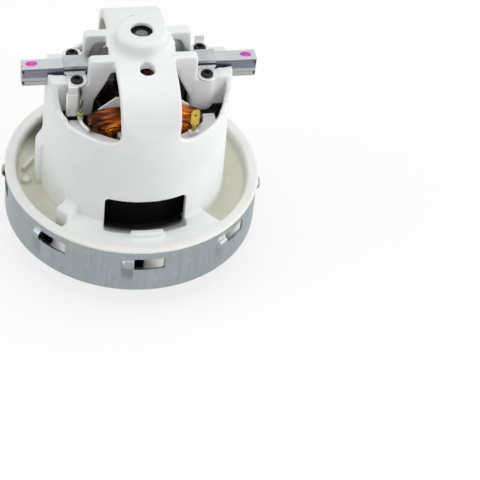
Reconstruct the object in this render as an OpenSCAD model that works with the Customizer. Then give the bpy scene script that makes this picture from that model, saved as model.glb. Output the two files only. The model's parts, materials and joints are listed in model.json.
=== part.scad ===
// Vacuum motor unit: a two-pole commutator motor with a shrouded fan in a pressed steel cover.
// It stands on the inlet lip of the cover, Z up the shaft, X along the two brushes, millimetres.

/* [Fan cover] */
// Outside radius of the steel band
cover_r = 65; // [64:0.5:66]
// Sheet thickness of the cover
cover_t = 0.9; // [0.7:0.1:1]
// How far the inlet lip stands off the flat sealing ring
cone_depth = 12; // [11:0.5:13]
// Height of the band above the flat ring
band_h = 26.4; // [26:0.2:27]
// Radius of the inlet eye
eye_r = 15; // [14:0.25:15.5]
// Radius of the pressed step round the cone
step_r = 52.5; // [51:0.5:53]
// Number of catch windows round the band
window_count = 8; // [6:1:8]
// Length of each catch window
window_w = 15.6; // [12:0.2:16]
// Height of each catch window
window_h = 7; // [5:0.25:7.5]

/* [Motor bracket] */
// Width of the flat rim on top of the band
rim_w = 5.9; // [5:0.1:6.2]
// Depth of the channel inside the rim
channel_d = 7.5; // [6:0.25:8]
// Outside radius of the drum at its top edge
drum_r = 46; // [45.5:0.25:47]
// Wall of the drum
drum_t = 2.6; // [2.2:0.1:2.8]
// Height of the drum edge above the rim
drum_h = 49.5; // [48.5:0.5:50.5]
// Width of the front and back pillars
pillar_w = 29; // [26:0.5:30]
// Height of the deck above the drum edge
deck_h = 28.5; // [28:0.25:29.5]
// Radius of the hub on the deck
hub_r = 13.2; // [12.8:0.1:14]
// Radius of the hole in the top of the hub
hub_hole_r = 5.45; // [5:0.05:6]

/* [Brush gear] */
// Width of the brush along Y
brush_w = 5.4; // [5:0.1:5.6]
// Height of the brush along Z
brush_h = 8.6; // [8:0.1:8.8]
// Length of the brush
brush_l = 29; // [24:0.5:31]
// Wall of the brush tube
tube_t = 0.8; // [0.6:0.05:0.9]
// How far from the shaft the brush tube ends
tube_end = 58; // [56:0.5:60]
// Distance of the strap screws from the shaft along X
screw_x = 32; // [31.7:0.1:32.7]
// Distance of the strap screws from the brush line
screw_y = 10.4; // [10:0.1:10.8]

/* [Rotor] */
// Radius of the shaft at the fan end
shaft_r = 4; // [3.9:0.05:4]
// Radius of the armature
armature_r = 21; // [20:0.25:21.25]
// Radius of the commutator
commutator_r = 11.5; // [10.5:0.1:11.75]
// Gap between the fan and the steel band
fan_gap = 8; // [7.5:0.5:11]
// Number of fan blades
blade_count = 8; // [6:1:9]
// Across flats of the fan nut
nut_af = 13; // [12:0.5:14]

/* [Fits] */
// Clearance between pieces that turn or slide past each other
run_gap = 0.15; // [0.1:0.05:0.2]
// Air gap between armature and field
air_gap = 0.6; // [0.5:0.05:0.8]

/* [Hidden] */
$fn = 96;
ring_z = cone_depth;
band_top = ring_z + band_h;
rim_t = 1.6;
rim_top = band_top + rim_t;
floor_top = rim_top - channel_d;
floor_t = 2.5;
floor_bot = floor_top - floor_t;
drum_in = drum_r - drum_t;
edge_z = rim_top + drum_h;
deck_z = edge_z + deck_h;
deck_t = 4.5;
hub_z = deck_z + 8.5;
window_z = ring_z + 19;
exhaust_x = 20;
rim_out = cover_r + 0.5;
rim_in = rim_out - rim_w;
skirt_out = cover_r - cover_t - 0.15;
skirt_in = skirt_out - 2.9;
fan_r = cover_r - fan_gap;
pillar_t = 4;
pillar_in = drum_r - pillar_t;

// Brush gear heights
brush_z = deck_z - 15.1;
slide_gap = 0.1;
tube_w = brush_w + 2 * slide_gap + 2 * tube_t;
tube_h = brush_h + 2 * slide_gap + 2 * tube_t;
tube_in = commutator_r + 1.1;
tube_bot = brush_z - tube_h / 2;
tube_top = brush_z + tube_h / 2;
ridge = 0.5;
ridge_y = tube_w / 2 + ridge;
strap_t = 0.9;
strap_w = 10.4;
strap_x0 = screw_x - 4.8;
boss_top = brush_z + 1.2;
boss_x0 = screw_x - 8.2;
boss_x1 = screw_x + 3.8;
boss_y = screw_y + 2.8;
shoulder_x = 26.6;
shoulder_y0 = 7.3;
shoulder_y1 = 12.7;
post_top = brush_z + 1.9;

// Field and armature heights
core_h = 30.5;
core_z = edge_z - 5 - core_h;
core_top = core_z + core_h;
boss_bot = core_top;
core_mid = core_z + core_h / 2;
bore_r = armature_r + air_gap;
shoe_r = bore_r + 2.9;
neck_x = 13;
yoke_t = 7;
yoke_x = drum_in - 6.4;
pocket_x = yoke_x - yoke_t;
tie_x = yoke_x - 3.4;
pocket_r = drum_in - yoke_t;
baffle_r = pocket_r + 0.2;
coil_fill = 0.5135;
coil_in = neck_x + 1.2;
coil_y0 = bore_r - 0.8;
coil_y1 = coil_y0 + (pocket_r - bore_r) * coil_fill;
coil_slot = sqrt(pow(pocket_r - 0.4, 2) - pow(coil_y1, 2)) - 0.1;
coil_flare = coil_slot + 6;
tag_x = drum_in - 23.2;
tag_y = drum_in - 8.8;
back_tag_x = 5;
coil_lo = core_h / 2 + 1.5;
coil_hi = core_h / 2 + 11.5;
wire_r = 0.38;
wire_gap = 0.02;
turn_pitch = 1.2;

// Bearings and fan heights
low_z = floor_bot - 1;
low_h = 7;
low_or = 11;
top_r = 3.5;
top_h = 6;
top_or = 9.5;
top_z = hub_z - 9.2;
boot_r = 11;
pocket_top = hub_z - 2.6;
com_z0 = edge_z + 6;
com_z1 = deck_z - 8;
back_z = low_z - 7;
plate_t = 0.8;
shaft_end = 9.4;
lead_r = 0.75;

white = [0.91, 0.91, 0.89];
zinc = [0.66, 0.70, 0.73];
steel = [0.72, 0.73, 0.76];
copper = [0.72, 0.38, 0.12];
brass = [0.85, 0.76, 0.36];
black = [0.08, 0.08, 0.09];

// Helpers for profiles and wires
function arc(c, r, a0, a1, n) = [for (i = [0:n]) let (a = a0 + (a1 - a0) * i / n)
    c + r * [cos(a), sin(a)]];
function unit(v) = v / norm(v);
function left_of(a, b) = let (d = unit(b - a)) [-d[1], d[0]];
function shifted(p, t) = [for (i = [0:len(p) - 1]) let (
    n0 = i > 0 ? left_of(p[i - 1], p[i]) : left_of(p[0], p[1]),
    n1 = i < len(p) - 1 ? left_of(p[i], p[i + 1]) : n0,
    m = unit(n0 + n1)) p[i] + m * t / (m * n1)];
function backwards(p) = [for (i = [len(p) - 1:-1:0]) p[i]];
function mix(a, b, u) = a + (b - a) * u;

module sheet(path, t) {
    polygon(concat(path, backwards(shifted(path, t))));
}

// Box with rounded corners in plan, from corner a to corner b
module round_plan(a, b, r) {
    translate([a[0] + r, a[1]])
        square([b[0] - a[0] - 2 * r, b[1] - a[1]]);
    translate([a[0], a[1] + r])
        square([b[0] - a[0], b[1] - a[1] - 2 * r]);
    for (x = [a[0] + r, b[0] - r])
        for (y = [a[1] + r, b[1] - r])
            translate([x, y])
                circle(r, $fn = 32);
}

// Outline drawn in X and Z, carried along Y from y0 to y1
module along_y(y0, y1) {
    translate([0, y1, 0])
        rotate([90, 0, 0])
            linear_extrude(y1 - y0)
                children();
}

// Outline drawn in Y and Z, carried along X from x0 to x1
module along_x(x0, x1) {
    translate([x0, 0, 0])
        rotate([90, 0, 90])
            linear_extrude(x1 - x0)
                children();
}

module ring(r0, r1, z0, z1) {
    rotate_extrude()
        translate([r0, z0])
            square([r1 - r0, z1 - z0]);
}

module both_x() {
    children();
    mirror([1, 0, 0])
        children();
}

module both_y() {
    children();
    mirror([0, 1, 0])
        children();
}

module half_turn() {
    children();
    rotate([0, 0, 180])
        children();
}

// Round wire through a list of points, its flat side kept square to one axis
module wire(path, r, n, axis) {
    m = len(path);
    pts = [for (i = [0:m - 1]) let (
        t = unit(path[min(i + 1, m - 1)] - path[max(i - 1, 0)]),
        v = unit(cross(t, axis)),
        u = cross(v, t))
        for (k = [0:n - 1]) path[i] + r * (cos(360 * k / n) * u + sin(360 * k / n) * v)];
    sides = [for (i = [0:m - 2]) for (k = [0:n - 1]) let (j = (k + 1) % n)
        each [[i * n + k, (i + 1) * n + k, (i + 1) * n + j], [i * n + k, (i + 1) * n + j, i * n + j]]];
    polyhedron(pts, concat([[for (k = [0:n - 1]) k]], sides,
        [[for (k = [n - 1:-1:0]) (m - 1) * n + k]]));
}

// Fan cover
lip_r = 2.2;
cone_z = ring_z - 3.2;
cone_slope = atan2(cone_z, step_r - 1.6 - eye_r - lip_r);
cover_path = concat([[eye_r, 4.2]],
    arc([eye_r + lip_r, lip_r], lip_r, 180, 270 + cone_slope, 8),
    [for (i = [0:6]) let (u = i / 6) [step_r - 1.6 + 3.2 * u, mix(cone_z, ring_z, u * u * (3 - 2 * u))]],
    arc([cover_r - 2.6, ring_z + 2.6], 2.6, 270, 360, 6),
    [[cover_r, band_top]]);

lug_r = 3.1;
lug_l = 3.4;
module lug(r, x0, mouth) {
    // Long dome pressed out of the band, its open mouth on the window
    rotate([0, 0, -asin(window_w / 2 / cover_r)])
        translate([cover_r - 1.1, 0, window_z])
            intersection() {
                rotate([90, 0, 0])
                    rotate_extrude($fn = 48)
                        polygon(concat([[0, -mouth], [r, -mouth]], arc([0, lug_l], r, 0, 90, 6)));
                translate([x0, -20, -10])
                    cube([20, 40, 20]);
            }
}

module fan_cover() color(zinc) {
    difference() {
        union() {
            rotate_extrude($fn = 180)
                sheet(cover_path, cover_t);
            for (i = [0:window_count - 1])
                rotate([0, 0, 360 * i / window_count])
                    lug(lug_r, 0.3, 0);
        }
        for (i = [0:window_count - 1])
            rotate([0, 0, 360 * i / window_count]) {
                along_x(cover_r - 3, cover_r + 3)
                    round_plan([-window_w / 2, window_z - window_h / 2],
                        [window_w / 2, window_z + window_h / 2], 1);
                lug(lug_r - 0.8, -10, 1);
            }
    }
}

// Moulded motor bracket
drum_foot = drum_r + 1.2;
base_path = [[drum_in, floor_bot], [skirt_in, floor_bot], [skirt_in, ring_z + 9],
    [skirt_out, ring_z + 9], [skirt_out, band_top], [rim_out, band_top], [rim_out, rim_top - 0.5],
    [rim_out - 0.5, rim_top], [rim_in + 0.7, rim_top], [rim_in, rim_top - 0.7],
    [rim_in - 0.5, floor_top + 1.2], [rim_in - 1.7, floor_top], [drum_foot + 1.5, floor_top],
    [drum_foot, floor_top + 1.5], [drum_r, edge_z - 0.6], [drum_r - 0.6, edge_z], [drum_in, edge_z]];
arch_n = 2.8;
arch_a = drum_r - 12;
arch_b = deck_z - edge_z + 3.5;
function arch(a, b, n) = [for (i = [0:14]) let (t = 90 * i / 14)
    [-12 - a * pow(cos(t), 2 / arch_n), edge_z - 3.5 + b * pow(sin(t), 2 / arch_n)]];

module pillar() {
    intersection() {
        along_x(-pillar_w / 2, pillar_w / 2)
            polygon(concat(arch(arch_a, arch_b, 14), [[-6, deck_z], [-6, deck_z - deck_t]],
                backwards(arch(arch_a - pillar_t, arch_b - deck_t, 14))));
        cylinder(r = drum_r, h = 200, $fn = 180);
        linear_extrude(200)
            polygon([[-pillar_w / 2, 0], [-pillar_w / 2, 6 - drum_r], [1 - pillar_w / 2, -drum_r - 1],
                [pillar_w / 2 - 0.4, -drum_r - 1], [pillar_w / 2, 6 - drum_r], [pillar_w / 2, 0]]);
    }
}

// Rounded feet where the pillars leave the drum edge, and the posts that carry the brush tubes
module edge_rise() {
    p = pillar_w / 2;
    q = boss_y - 1.2;
    rise = [[-q - 11, edge_z - 1], [-q - 11, edge_z], [-q - 10.8, edge_z + 1.7], [-q - 8.2, edge_z + 1.9],
        [-q - 5.6, edge_z + 3.2], [-q - 3.4, edge_z + 7], [-q - 1.7, edge_z + 11.5], [-q, post_top - 0.9],
        [0.8 - q, post_top]];
    intersection() {
        ring(drum_in, drum_r, edge_z - 1, post_top + 1);
        union() {
            along_y(-60, 60)
                polygon([[-p - 6.5, edge_z - 1], [-p - 6.5, edge_z], [-p - 3.5, edge_z + 0.7],
                    [-p - 1.1, edge_z + 2], [0.3 - p, edge_z + 4], [1.2 - p, edge_z + 7],
                    [p - 1.2, edge_z + 7], [p - 0.3, edge_z + 4], [p + 1.1, edge_z + 2],
                    [p + 3.5, edge_z + 0.7], [p + 6.5, edge_z], [p + 6.5, edge_z - 1]]);
            along_x(-60, 60)
                polygon(concat(rise, [for (v = backwards(rise)) [-v[0], v[1]]]));
        }
    }
}

module shoulder() {
    // Shield from the deck down to the screw boss, its inner half cut back round the opening
    top = [[8, deck_z], [shoulder_x - 1.6, deck_z], [shoulder_x - 0.4, deck_z - 0.5],
        [shoulder_x, deck_z - 1.7], [strap_x0 - 0.3, boss_top + 1], [strap_x0 - 0.3, boss_top],
        [boss_x0 + 4, boss_top - 3], [boss_x0 + 4, boss_bot + 4]];
    along_y(shoulder_y0 + 2.4, boss_y - 0.2)
        polygon(concat(top, [[boss_x0 + 0.2, boss_bot + 4], [boss_x0 - 0.3, boss_bot + 9],
            [boss_x0 - 2.7, boss_bot + 14], [boss_x0 - 5, boss_bot + 18.4], [boss_x0 - 7.1, deck_z - 10.5],
            [boss_x0 - 7.5, deck_z - 8.6], [boss_x0 - 8.4, deck_z - 7.6], [8, deck_z - 7.4]]));
    along_y(shoulder_y0, shoulder_y0 + 2.5)
        polygon(concat(top, [[boss_x0 + 0.8, boss_bot + 4], [boss_x0 + 0.6, deck_z - 15],
            [boss_x0 - 0.5, deck_z - 11], [boss_x0 - 0.9, deck_z - 8.8], [boss_x0 - 2.3, deck_z - 6],
            [boss_x0 - 3.5, deck_z - 5.1], [8, deck_z - 5]]));
    difference() {
        translate([0, 0, boss_bot])
            linear_extrude(boss_top - boss_bot)
                round_plan([boss_x0, shoulder_y0 - 2.4], [boss_x1, boss_y], 2);
        along_y(0, 20)
            polygon([[boss_x1 + 1, boss_bot - 1], [boss_x1 + 1, boss_bot + 3], [boss_x1 - 0.8, boss_bot + 0.9],
                [boss_x1 - 3, boss_bot], [boss_x0 + 3, boss_bot], [boss_x0 + 0.8, boss_bot + 0.9],
                [boss_x0 - 1, boss_bot + 3], [boss_x0 - 1, boss_bot - 1]]);
    }
    // Web from the boss to the drum, its top level with the post
    intersection() {
        union() {
            translate([boss_x1 - 2, shoulder_y0 - 2.4, boss_bot + 2.4])
                cube([20, boss_y - shoulder_y0 + 1.2, boss_top - boss_bot - 2.4]);
            translate([strap_x0 + strap_w + 0.2, shoulder_y0 - 2.4, boss_bot + 2.4])
                cube([20, boss_y - shoulder_y0 + 1.2, post_top - boss_bot - 2.4]);
        }
        cylinder(r = drum_r - 0.5, h = 200, $fn = 180);
    }
}

module crown() {
    translate([-pillar_w / 2, -shoulder_y1, deck_z - deck_t])
        cube([pillar_w, 2 * shoulder_y1, deck_t]);
    both_y()
        both_x()
            shoulder();
    // Saddle under each brush tube
    both_x()
        translate([boss_x0 + 2, -shoulder_y0, tube_bot - 5])
            cube([boss_x1 - boss_x0 - 2, 2 * shoulder_y0, 5]);
    // Hub with its bearing pocket
    rotate_extrude()
        polygon(concat([[0, top_z - 1.5], [hub_r + 0.8, top_z - 1.5], [hub_r + 4, deck_z - deck_t],
            [hub_r + 4, deck_z]], arc([hub_r + 3.4, deck_z + 3.4], 3.4, 270, 180, 6),
            arc([hub_r - 2.8, hub_z - 2.8], 2.8, 0, 90, 6), [[0, hub_z]]));
}

module fill() {
    // Floor raised to the rim round the recess before the exhaust window
    difference() {
        intersection() {
            ring(drum_in + 0.5, rim_in + 0.5, floor_bot, rim_top - 0.4);
            translate([0, 0, floor_bot])
                linear_extrude(20)
                    polygon([[0, 0], [-67, -70], [58, -70]]);
        }
        intersection() {
            ring(drum_in, rim_in - 8, floor_top, rim_top);
            translate([-exhaust_x - 0.5, -70, 0])
                cube([2 * exhaust_x + 1, 70, 60]);
        }
    }
    // Lip at the edge of the recess
    intersection() {
        ring(rim_in - 8, rim_in - 4.2, floor_top, rim_top + 2);
        translate([-8.2, -70, 0])
            cube([16.4, 40, 60]);
    }
    // Box boss across the channel
    rotate([0, 0, 222])
        translate([drum_r - 2, -3.8, floor_bot])
            cube([rim_in - drum_r - 2.8, 7.6, rim_top - floor_bot + 4]);
}

module bearing_seat() {
    // Floor with the lower bearing seat on four spokes
    difference() {
        union() {
            cylinder(r = drum_in + 0.5, h = floor_t);
            translate([0, 0, -2.5])
                cylinder(r = 17.5, h = low_h + 2);
        }
        translate([0, 0, -1])
            linear_extrude(8)
                difference() {
                    circle(baffle_r - 1);
                    circle(21);
                    square([9, 90], center = true);
                    square([90, 9], center = true);
                }
    }
}

module motor_bracket() color(white) {
    difference() {
        union() {
            difference() {
                rotate_extrude($fn = 180)
                    polygon(base_path);
                for (i = [0:window_count - 1])
                    rotate([0, 0, 360 * i / window_count])
                        translate([skirt_in, -window_w / 2 - 0.4, window_z - window_h / 2 - 0.2]) {
                            translate([0.6, 0, 0])
                                cube([10, window_w + 0.8, window_h + 0.4]);
                            translate([-1, 0, 0])
                                cube([10, window_w / 2 - 2.4, window_h + 0.4]);
                        }
            }
            edge_rise();
            half_turn()
                pillar();
            crown();
            half_turn()
                fill();
            translate([0, 0, floor_bot])
                bearing_seat();
            // Ledges under the field core
            both_x()
                intersection() {
                    ring(pocket_x, drum_in + 0.5, core_z - 12, core_z);
                    translate([pocket_x + 0.8, -8, core_z - 12])
                        cube([30, 16, 12]);
                }
            // Catches in the windows of the cover, leaning back towards the lug
            for (i = [0:window_count - 1])
                rotate([0, 0, 360 * i / window_count])
                    translate([0, 0, window_z - window_h / 2 + 0.6])
                        linear_extrude(window_h - 1.2)
                            polygon([[skirt_in + 0.3, window_w / 2 + 0.6], [skirt_out - 0.75, window_w / 2 + 0.6],
                                [skirt_out - 0.75, window_w / 2 - 0.1], [cover_r - 0.8, window_w / 2 - 0.9],
                                [skirt_in + 1.2, window_w / 2 - 9.5], [skirt_in + 0.3, window_w / 2 - 10.5]]);
            // Pilaster on the left, with the rib and pad beside it in the channel
            difference() {
                intersection() {
                    translate([-drum_r - 4, -5.5, floor_bot + 0.5])
                        linear_extrude(60)
                            round_plan([0, 0], [14, 11.5], 3);
                    along_y(-10, 10)
                        polygon([[-drum_r - 5, floor_bot], [-drum_r - 5, edge_z - 34], [-drum_r - 3.6, edge_z - 31.5],
                            [-drum_r + 0.5, edge_z - 26], [-drum_r + 10, edge_z - 26], [-drum_r + 10, floor_bot]]);
                }
                cylinder(r = drum_in + 0.5, h = 200);
            }
            translate([-drum_r - 6.6, 9.6, floor_bot + 0.5])
                rotate([0, 0, 52])
                    translate([-5.2, -1, 0])
                        cube([10.4, 2, floor_t + 3.5]);
            translate([-drum_r - 8.8, -1.8, floor_bot + 0.5])
                cylinder(r = 2.6, h = floor_t + 2.6);
        }
        // Exhaust windows
        intersection() {
            along_y(-60, 60)
                round_plan([-exhaust_x, floor_top + 0.8], [exhaust_x, floor_top + 22.8], 2.2);
            cylinder(r = drum_foot + 0.4, h = 200, $fn = 180);
        }
        // Oblong hole in each pillar top
        half_turn()
            translate([0, 0, deck_z - 14])
                linear_extrude(30)
                    translate([0.4, -19.5]) {
                        translate([0, 0.9])
                            circle(3.6);
                        translate([0, -0.9])
                            circle(3.6);
                        square([7.2, 1.8], center = true);
                    }
        // Slots for the brush tubes
        both_x()
            translate([tube_in - 1, -ridge_y - 0.05, tube_bot])
                cube([60, 2 * ridge_y + 0.1, 20]);
        // Screw holes under the straps
        both_y()
            both_x()
                translate([screw_x, screw_y, boss_bot + 2])
                    cylinder(r = 1.75, h = 30, $fn = 32);
        // Field screw holes
        both_x()
            translate([tie_x, 0, core_z - 10])
                cylinder(r = 1.95, h = 11, $fn = 32);
        // Hub hole, upper bearing pocket and room for the commutator
        translate([0, 0, hub_z - 10])
            cylinder(r = hub_hole_r, h = 20);
        translate([0, 0, top_z - 10])
            cylinder(r = boot_r, h = pocket_top - top_z + 10);
        // Lower bearing pocket and its screws
        translate([0, 0, low_z])
            cylinder(r = low_or, h = 20);
        translate([0, 0, low_z - 10])
            cylinder(r = 8.5, h = 20);
        for (a = [45, 165, 285])
            rotate([0, 0, a])
                translate([14.2, 0, low_z + 1.5])
                    cylinder(r = 1.25, h = 10, $fn = 24);
    }
}

// Stationary guide plate behind the fan
module guide_plate() color([0.2, 0.2, 0.21]) {
    ring(13, skirt_in - 0.8, back_z + 2.8, back_z + 4.3);
    for (i = [0:9])
        rotate([0, 0, 36 * i])
            translate([22, -0.7, back_z + 4.2])
                rotate([0, 0, 35])
                    cube([33, 1.4, floor_bot - back_z - 4.2]);
}

// Winding slots beside the pole necks
module slots() {
    both_y()
        both_x()
            difference() {
                intersection() {
                    translate([neck_x, 0])
                        square([pocket_x - neck_x, 60]);
                    circle(pocket_r);
                }
                circle(shoe_r);
            }
}

// Dark baffles between the coil ends and the exhaust windows
module baffle() {
    intersection() {
        ring(baffle_r, baffle_r + 1.2, floor_top, core_z - 1.4);
        translate([-27, -60, 0])
            cube([54, 60, 100]);
    }
}

module baffle_front() color(black)
    baffle();

module baffle_back() color(black)
    rotate([0, 0, 180])
        baffle();

// Laminated field core
module field_core() color([0.25, 0.25, 0.27]) {
    translate([0, 0, core_z])
        linear_extrude(core_h)
            difference() {
                intersection() {
                    circle(drum_in - 0.05, $fn = 180);
                    square([2 * yoke_x, 100], center = true);
                }
                circle(bore_r);
                slots();
                square([2 * pocket_x, 18], center = true);
                both_x()
                    translate([tie_x, 0])
                        circle(2.05, $fn = 32);
            }
}

module field_screws() color(steel) {
    both_x()
        translate([tie_x, 0, 0]) {
            translate([0, 0, core_z - 9.5])
                cylinder(r = 1.95, h = core_h + 9.6, $fn = 32);
            translate([0, 0, core_top])
                difference() {
                    cylinder(r = 3.3, h = 2.6, $fn = 32);
                    translate([0, 0, 1.2])
                        cylinder(r = 2, h = 2, $fn = 6);
                }
        }
}

// Paper liners along the yoke side of the four slots
module slot_liners() color([0.93, 0.93, 0.92]) {
    both_y()
        both_x()
            translate([0, 0, core_z - 1])
                linear_extrude(core_h + 2)
                    intersection() {
                        difference() {
                            circle(pocket_r - 0.05);
                            circle(pocket_r - 0.35);
                        }
                        translate([neck_x + 1, 20])
                            square([pocket_x - neck_x - 2, 30]);
                    }
}

// Moulded bobbin round the front pole, turned half round for the back one
module bobbin(post_x) {
    flap = [[-coil_slot + 4, 0], [-coil_slot + 4, 1.2], [-coil_slot - 1.5, 3], [-coil_slot - 2.2, 6.6],
        [-coil_slot + 0.3, 10.6], [-coil_slot + 8, 16.9], [-coil_slot + 9.4, 16.9], [-coil_slot + 11, 15.6]];
    for (s = [0, 1])
        translate([0, 0, core_mid])
            mirror([0, 0, s])
                translate([0, 0, core_h / 2]) {
                    linear_extrude(1.15)
                        intersection() {
                            difference() {
                                circle(drum_in - 0.4);
                                circle(shoe_r + 0.3);
                                slots();
                            }
                            translate([-coil_flare - 8, 0.3 - pillar_in])
                                square([2 * coil_flare + 16, pillar_in - coil_y0 + 3.4]);
                        }
                    translate([-neck_x - 0.6, -coil_y1 - 1.6, 0])
                        cube([2 * neck_x + 1.2, coil_y1 - coil_y0 + 2.3, 1.15]);
                    // Inner wall that keeps the end turns off the armature
                    along_y(-coil_y0 + 0.1, -coil_y0 + 0.9)
                        polygon(s == 0 ? concat(flap, [for (v = backwards(flap)) [-v[0], v[1]]])
                            : [[4 - coil_slot, 0], [4 - coil_slot, 9], [7 - coil_slot, 11], [coil_slot - 7, 11],
                                [coil_slot - 4, 9], [coil_slot - 4, 0]]);
                }
    // Thin walls down both sides of the pole neck
    both_x()
        translate([neck_x + 0.05, -coil_y1 - 1, core_z - 0.5])
            cube([0.55, coil_y1 - coil_y0 + 0.6, core_h + 1]);
    // Tag post
    difference() {
        translate([post_x, -tag_y, core_top])
            cube([5, 2.2, 4.5]);
        translate([post_x + 1.6, 0.65 - tag_y, core_top + 1.55])
            cube([1.9, 0.9, 5]);
    }
}

module coil_former_front() color(white)
    bobbin(tag_x);

module coil_former_back() color(white)
    rotate([0, 0, 180])
        bobbin(back_tag_x);

// Brass tags on the tag posts
module tag(post_x) {
    difference() {
        translate([post_x + 0.6, 0.7 - tag_y, core_top + 1.6])
            union() {
                translate([1.05, 0, 0])
                    cube([1.8, 0.8, 9]);
                along_y(0, 0.8)
                    translate([0, 7])
                        round_plan([0, 0], [4.1, 8.6], 0.9);
            }
        translate([post_x + 2.6, 0, core_top + 14.2])
            rotate([90, 0, 0])
                cylinder(r = 0.7, h = 60, $fn = 24);
    }
}

module field_tags() color(brass) {
    tag(tag_x);
    rotate([0, 0, 180])
        tag(back_tag_x);
}

// Field coils: a plain core with one wound layer over its outer faces
// Quarter outlines from the middle of a side to the middle of the top
coil_skin = 2 * wire_r + wire_gap;
outer_x = [coil_slot, coil_slot, coil_flare - 2.5, coil_flare, coil_flare - 2, coil_flare - 10, 0];
outer_z = [0, coil_lo - 2.5, coil_lo + 1.3, coil_lo + 4.4, coil_hi - 3, coil_hi - 0.6, coil_hi];
under_x = [coil_slot, coil_slot, coil_slot, coil_slot - 0.6, coil_slot - 3, coil_slot - 10, 0];
under_z = [0, coil_lo - 2.5, coil_lo + 3, coil_lo + 6.5, coil_lo + 9, coil_lo + 10.2, coil_lo + 10.5];
inner_x = [coil_in, coil_in, coil_in, coil_in - 0.8, 11, 7, 0];
inner_z = [0, coil_lo - 2.5, coil_lo - 0.7, coil_lo, coil_lo, coil_lo, coil_lo];
// Point i of 24 round the coil, u of the way from the outer outline to the inner one
function loop_point(u, i) = let (
    q = floor(i / 6) % 4,
    j = (q == 0 || q == 2) ? i % 6 : 6 - i % 6,
    sx = (q == 0 || q == 3) ? 1 : -1,
    up = q < 2)
    [sx * mix(up ? outer_x[j] : under_x[j], inner_x[j], u),
        up ? mix(outer_z[j], inner_z[j], u) : -mix(under_z[j], inner_z[j], u)];
coil_steps = 24;
depth = coil_slot - coil_in;
side_run = coil_y1 - coil_y0 - 2 * wire_r - 0.8;
face_run = depth - 3 * wire_r - 0.8;
wind_run = side_run + 1.13 + face_run;
// Inset and distance from the shaft after s millimetres across the outer faces
function wind_at(s) = s < side_run ? [wire_r, coil_y0 + wire_r + s]
    : s < side_run + 1.13 ? let (u = (s - side_run) / 1.13)
        [wire_r + 0.8 * u, coil_y0 + wire_r + side_run + 0.8 * u]
    : [wire_r + 0.8 + s - side_run - 1.13, coil_y0 + wire_r + side_run + 0.8];
coil_turns = floor(wind_run / turn_pitch);
coil_path = [for (i = [0:coil_turns * coil_steps]) let (
    g = wind_at(wind_run * i / (coil_turns * coil_steps)),
    p = loop_point(g[0] / depth, i % coil_steps))
    [p[0], -g[1], core_mid + p[1]]];

module coil_core() {
    // The edge steps back under the turns that go round it
    for (e = [0, 0.65])
        translate([0, 0, core_mid])
            along_y(-coil_y1 + coil_skin + 0.65 - e, -coil_y0)
                difference() {
                    polygon([for (i = [0:23]) loop_point((coil_skin + e) / depth, i)]);
                    polygon([for (i = [0:23]) loop_point(1, i)]);
                }
}

module field_coil_front() color(copper)
    coil_core();

module field_coil_back() color(copper)
    rotate([0, 0, 180])
        coil_core();

module field_winding_front() color(copper)
    wire(coil_path, wire_r, 6, [0, 1, 0]);

module field_winding_back() color(copper)
    rotate([0, 0, 180])
        wire(coil_path, wire_r, 6, [0, 1, 0]);

// Least distance between neighbouring turns of the winding, wire surface to wire surface
turn_gap = min([for (i = [0:len(coil_path) - 1 - coil_steps]) for (k = [-2:2])
    let (j = min(i + coil_steps + k, len(coil_path) - 1)) norm(coil_path[i] - coil_path[j])]) - 2 * wire_r;
echo(turn_gap = turn_gap);

// Brush gear, drawn for the right side
module brush_tube() {
    difference() {
        union() {
            translate([tube_in, -tube_w / 2, tube_bot])
                cube([tube_end - tube_in, tube_w, tube_h]);
            along_x(tube_in, tube_end - 0.4)
                polygon([[-ridge_y, tube_bot + 0.3], [0.3 - ridge_y, tube_bot], [ridge_y - 0.3, tube_bot],
                    [ridge_y, tube_bot + 0.3], [ridge_y, tube_bot + 1.7], [ridge_y - 0.35, tube_bot + 2],
                    [ridge_y - 0.35, tube_bot + 2.5], [ridge_y, tube_bot + 2.8], [ridge_y, tube_bot + 3.8],
                    [ridge_y - 0.5, tube_bot + 4.3], [0.5 - ridge_y, tube_bot + 4.3], [-ridge_y, tube_bot + 3.8],
                    [-ridge_y, tube_bot + 2.8], [0.35 - ridge_y, tube_bot + 2.5], [0.35 - ridge_y, tube_bot + 2],
                    [-ridge_y, tube_bot + 1.7]]);
        }
        translate([tube_in - 1, -tube_w / 2 + tube_t, tube_bot + tube_t])
            cube([tube_end - tube_in + 0.2, tube_w - 2 * tube_t, tube_h - 2 * tube_t]);
        // Rolled edge along the top of both sides
        both_y()
            translate([tube_in - 1, tube_w / 2 - 0.25, tube_top - 1.6])
                cube([80, 1, 0.5]);
        // Notches that leave the folded end tabs
        both_y()
            translate([tube_end - 0.8, tube_w / 2 - 1.6, tube_bot - 1])
                cube([2, 0.8, 4]);
        translate([tube_end - 2, 0, brush_z])
            rotate([0, 90, 0])
                cylinder(r = 1.2, h = 4, $fn = 24);
    }
}

module brush_tube_left() color(steel)
    rotate([0, 0, 180])
        brush_tube();

module brush_tube_right() color(steel)
    brush_tube();

module strap() {
    x0 = strap_x0;
    difference() {
        union() {
            translate([x0, -tube_w / 2 - strap_t, tube_top])
                cube([strap_w, tube_w + 2 * strap_t, strap_t]);
            both_y()
                translate([x0, tube_w / 2 + 0.02, boss_top])
                    cube([strap_w, strap_t - 0.02, tube_top - boss_top + 0.1]);
            both_y()
                translate([x0, tube_w / 2 + 0.02, boss_top])
                    cube([2 * (screw_x - x0), screw_y - tube_w / 2, strap_t]);
            both_y()
                translate([screw_x, screw_y, boss_top])
                    cylinder(r = screw_x - strap_x0, h = strap_t);
        }
        both_y()
            translate([screw_x, screw_y, boss_top - 1])
                cylinder(r = 1.9, h = 5, $fn = 32);
    }
}

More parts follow.
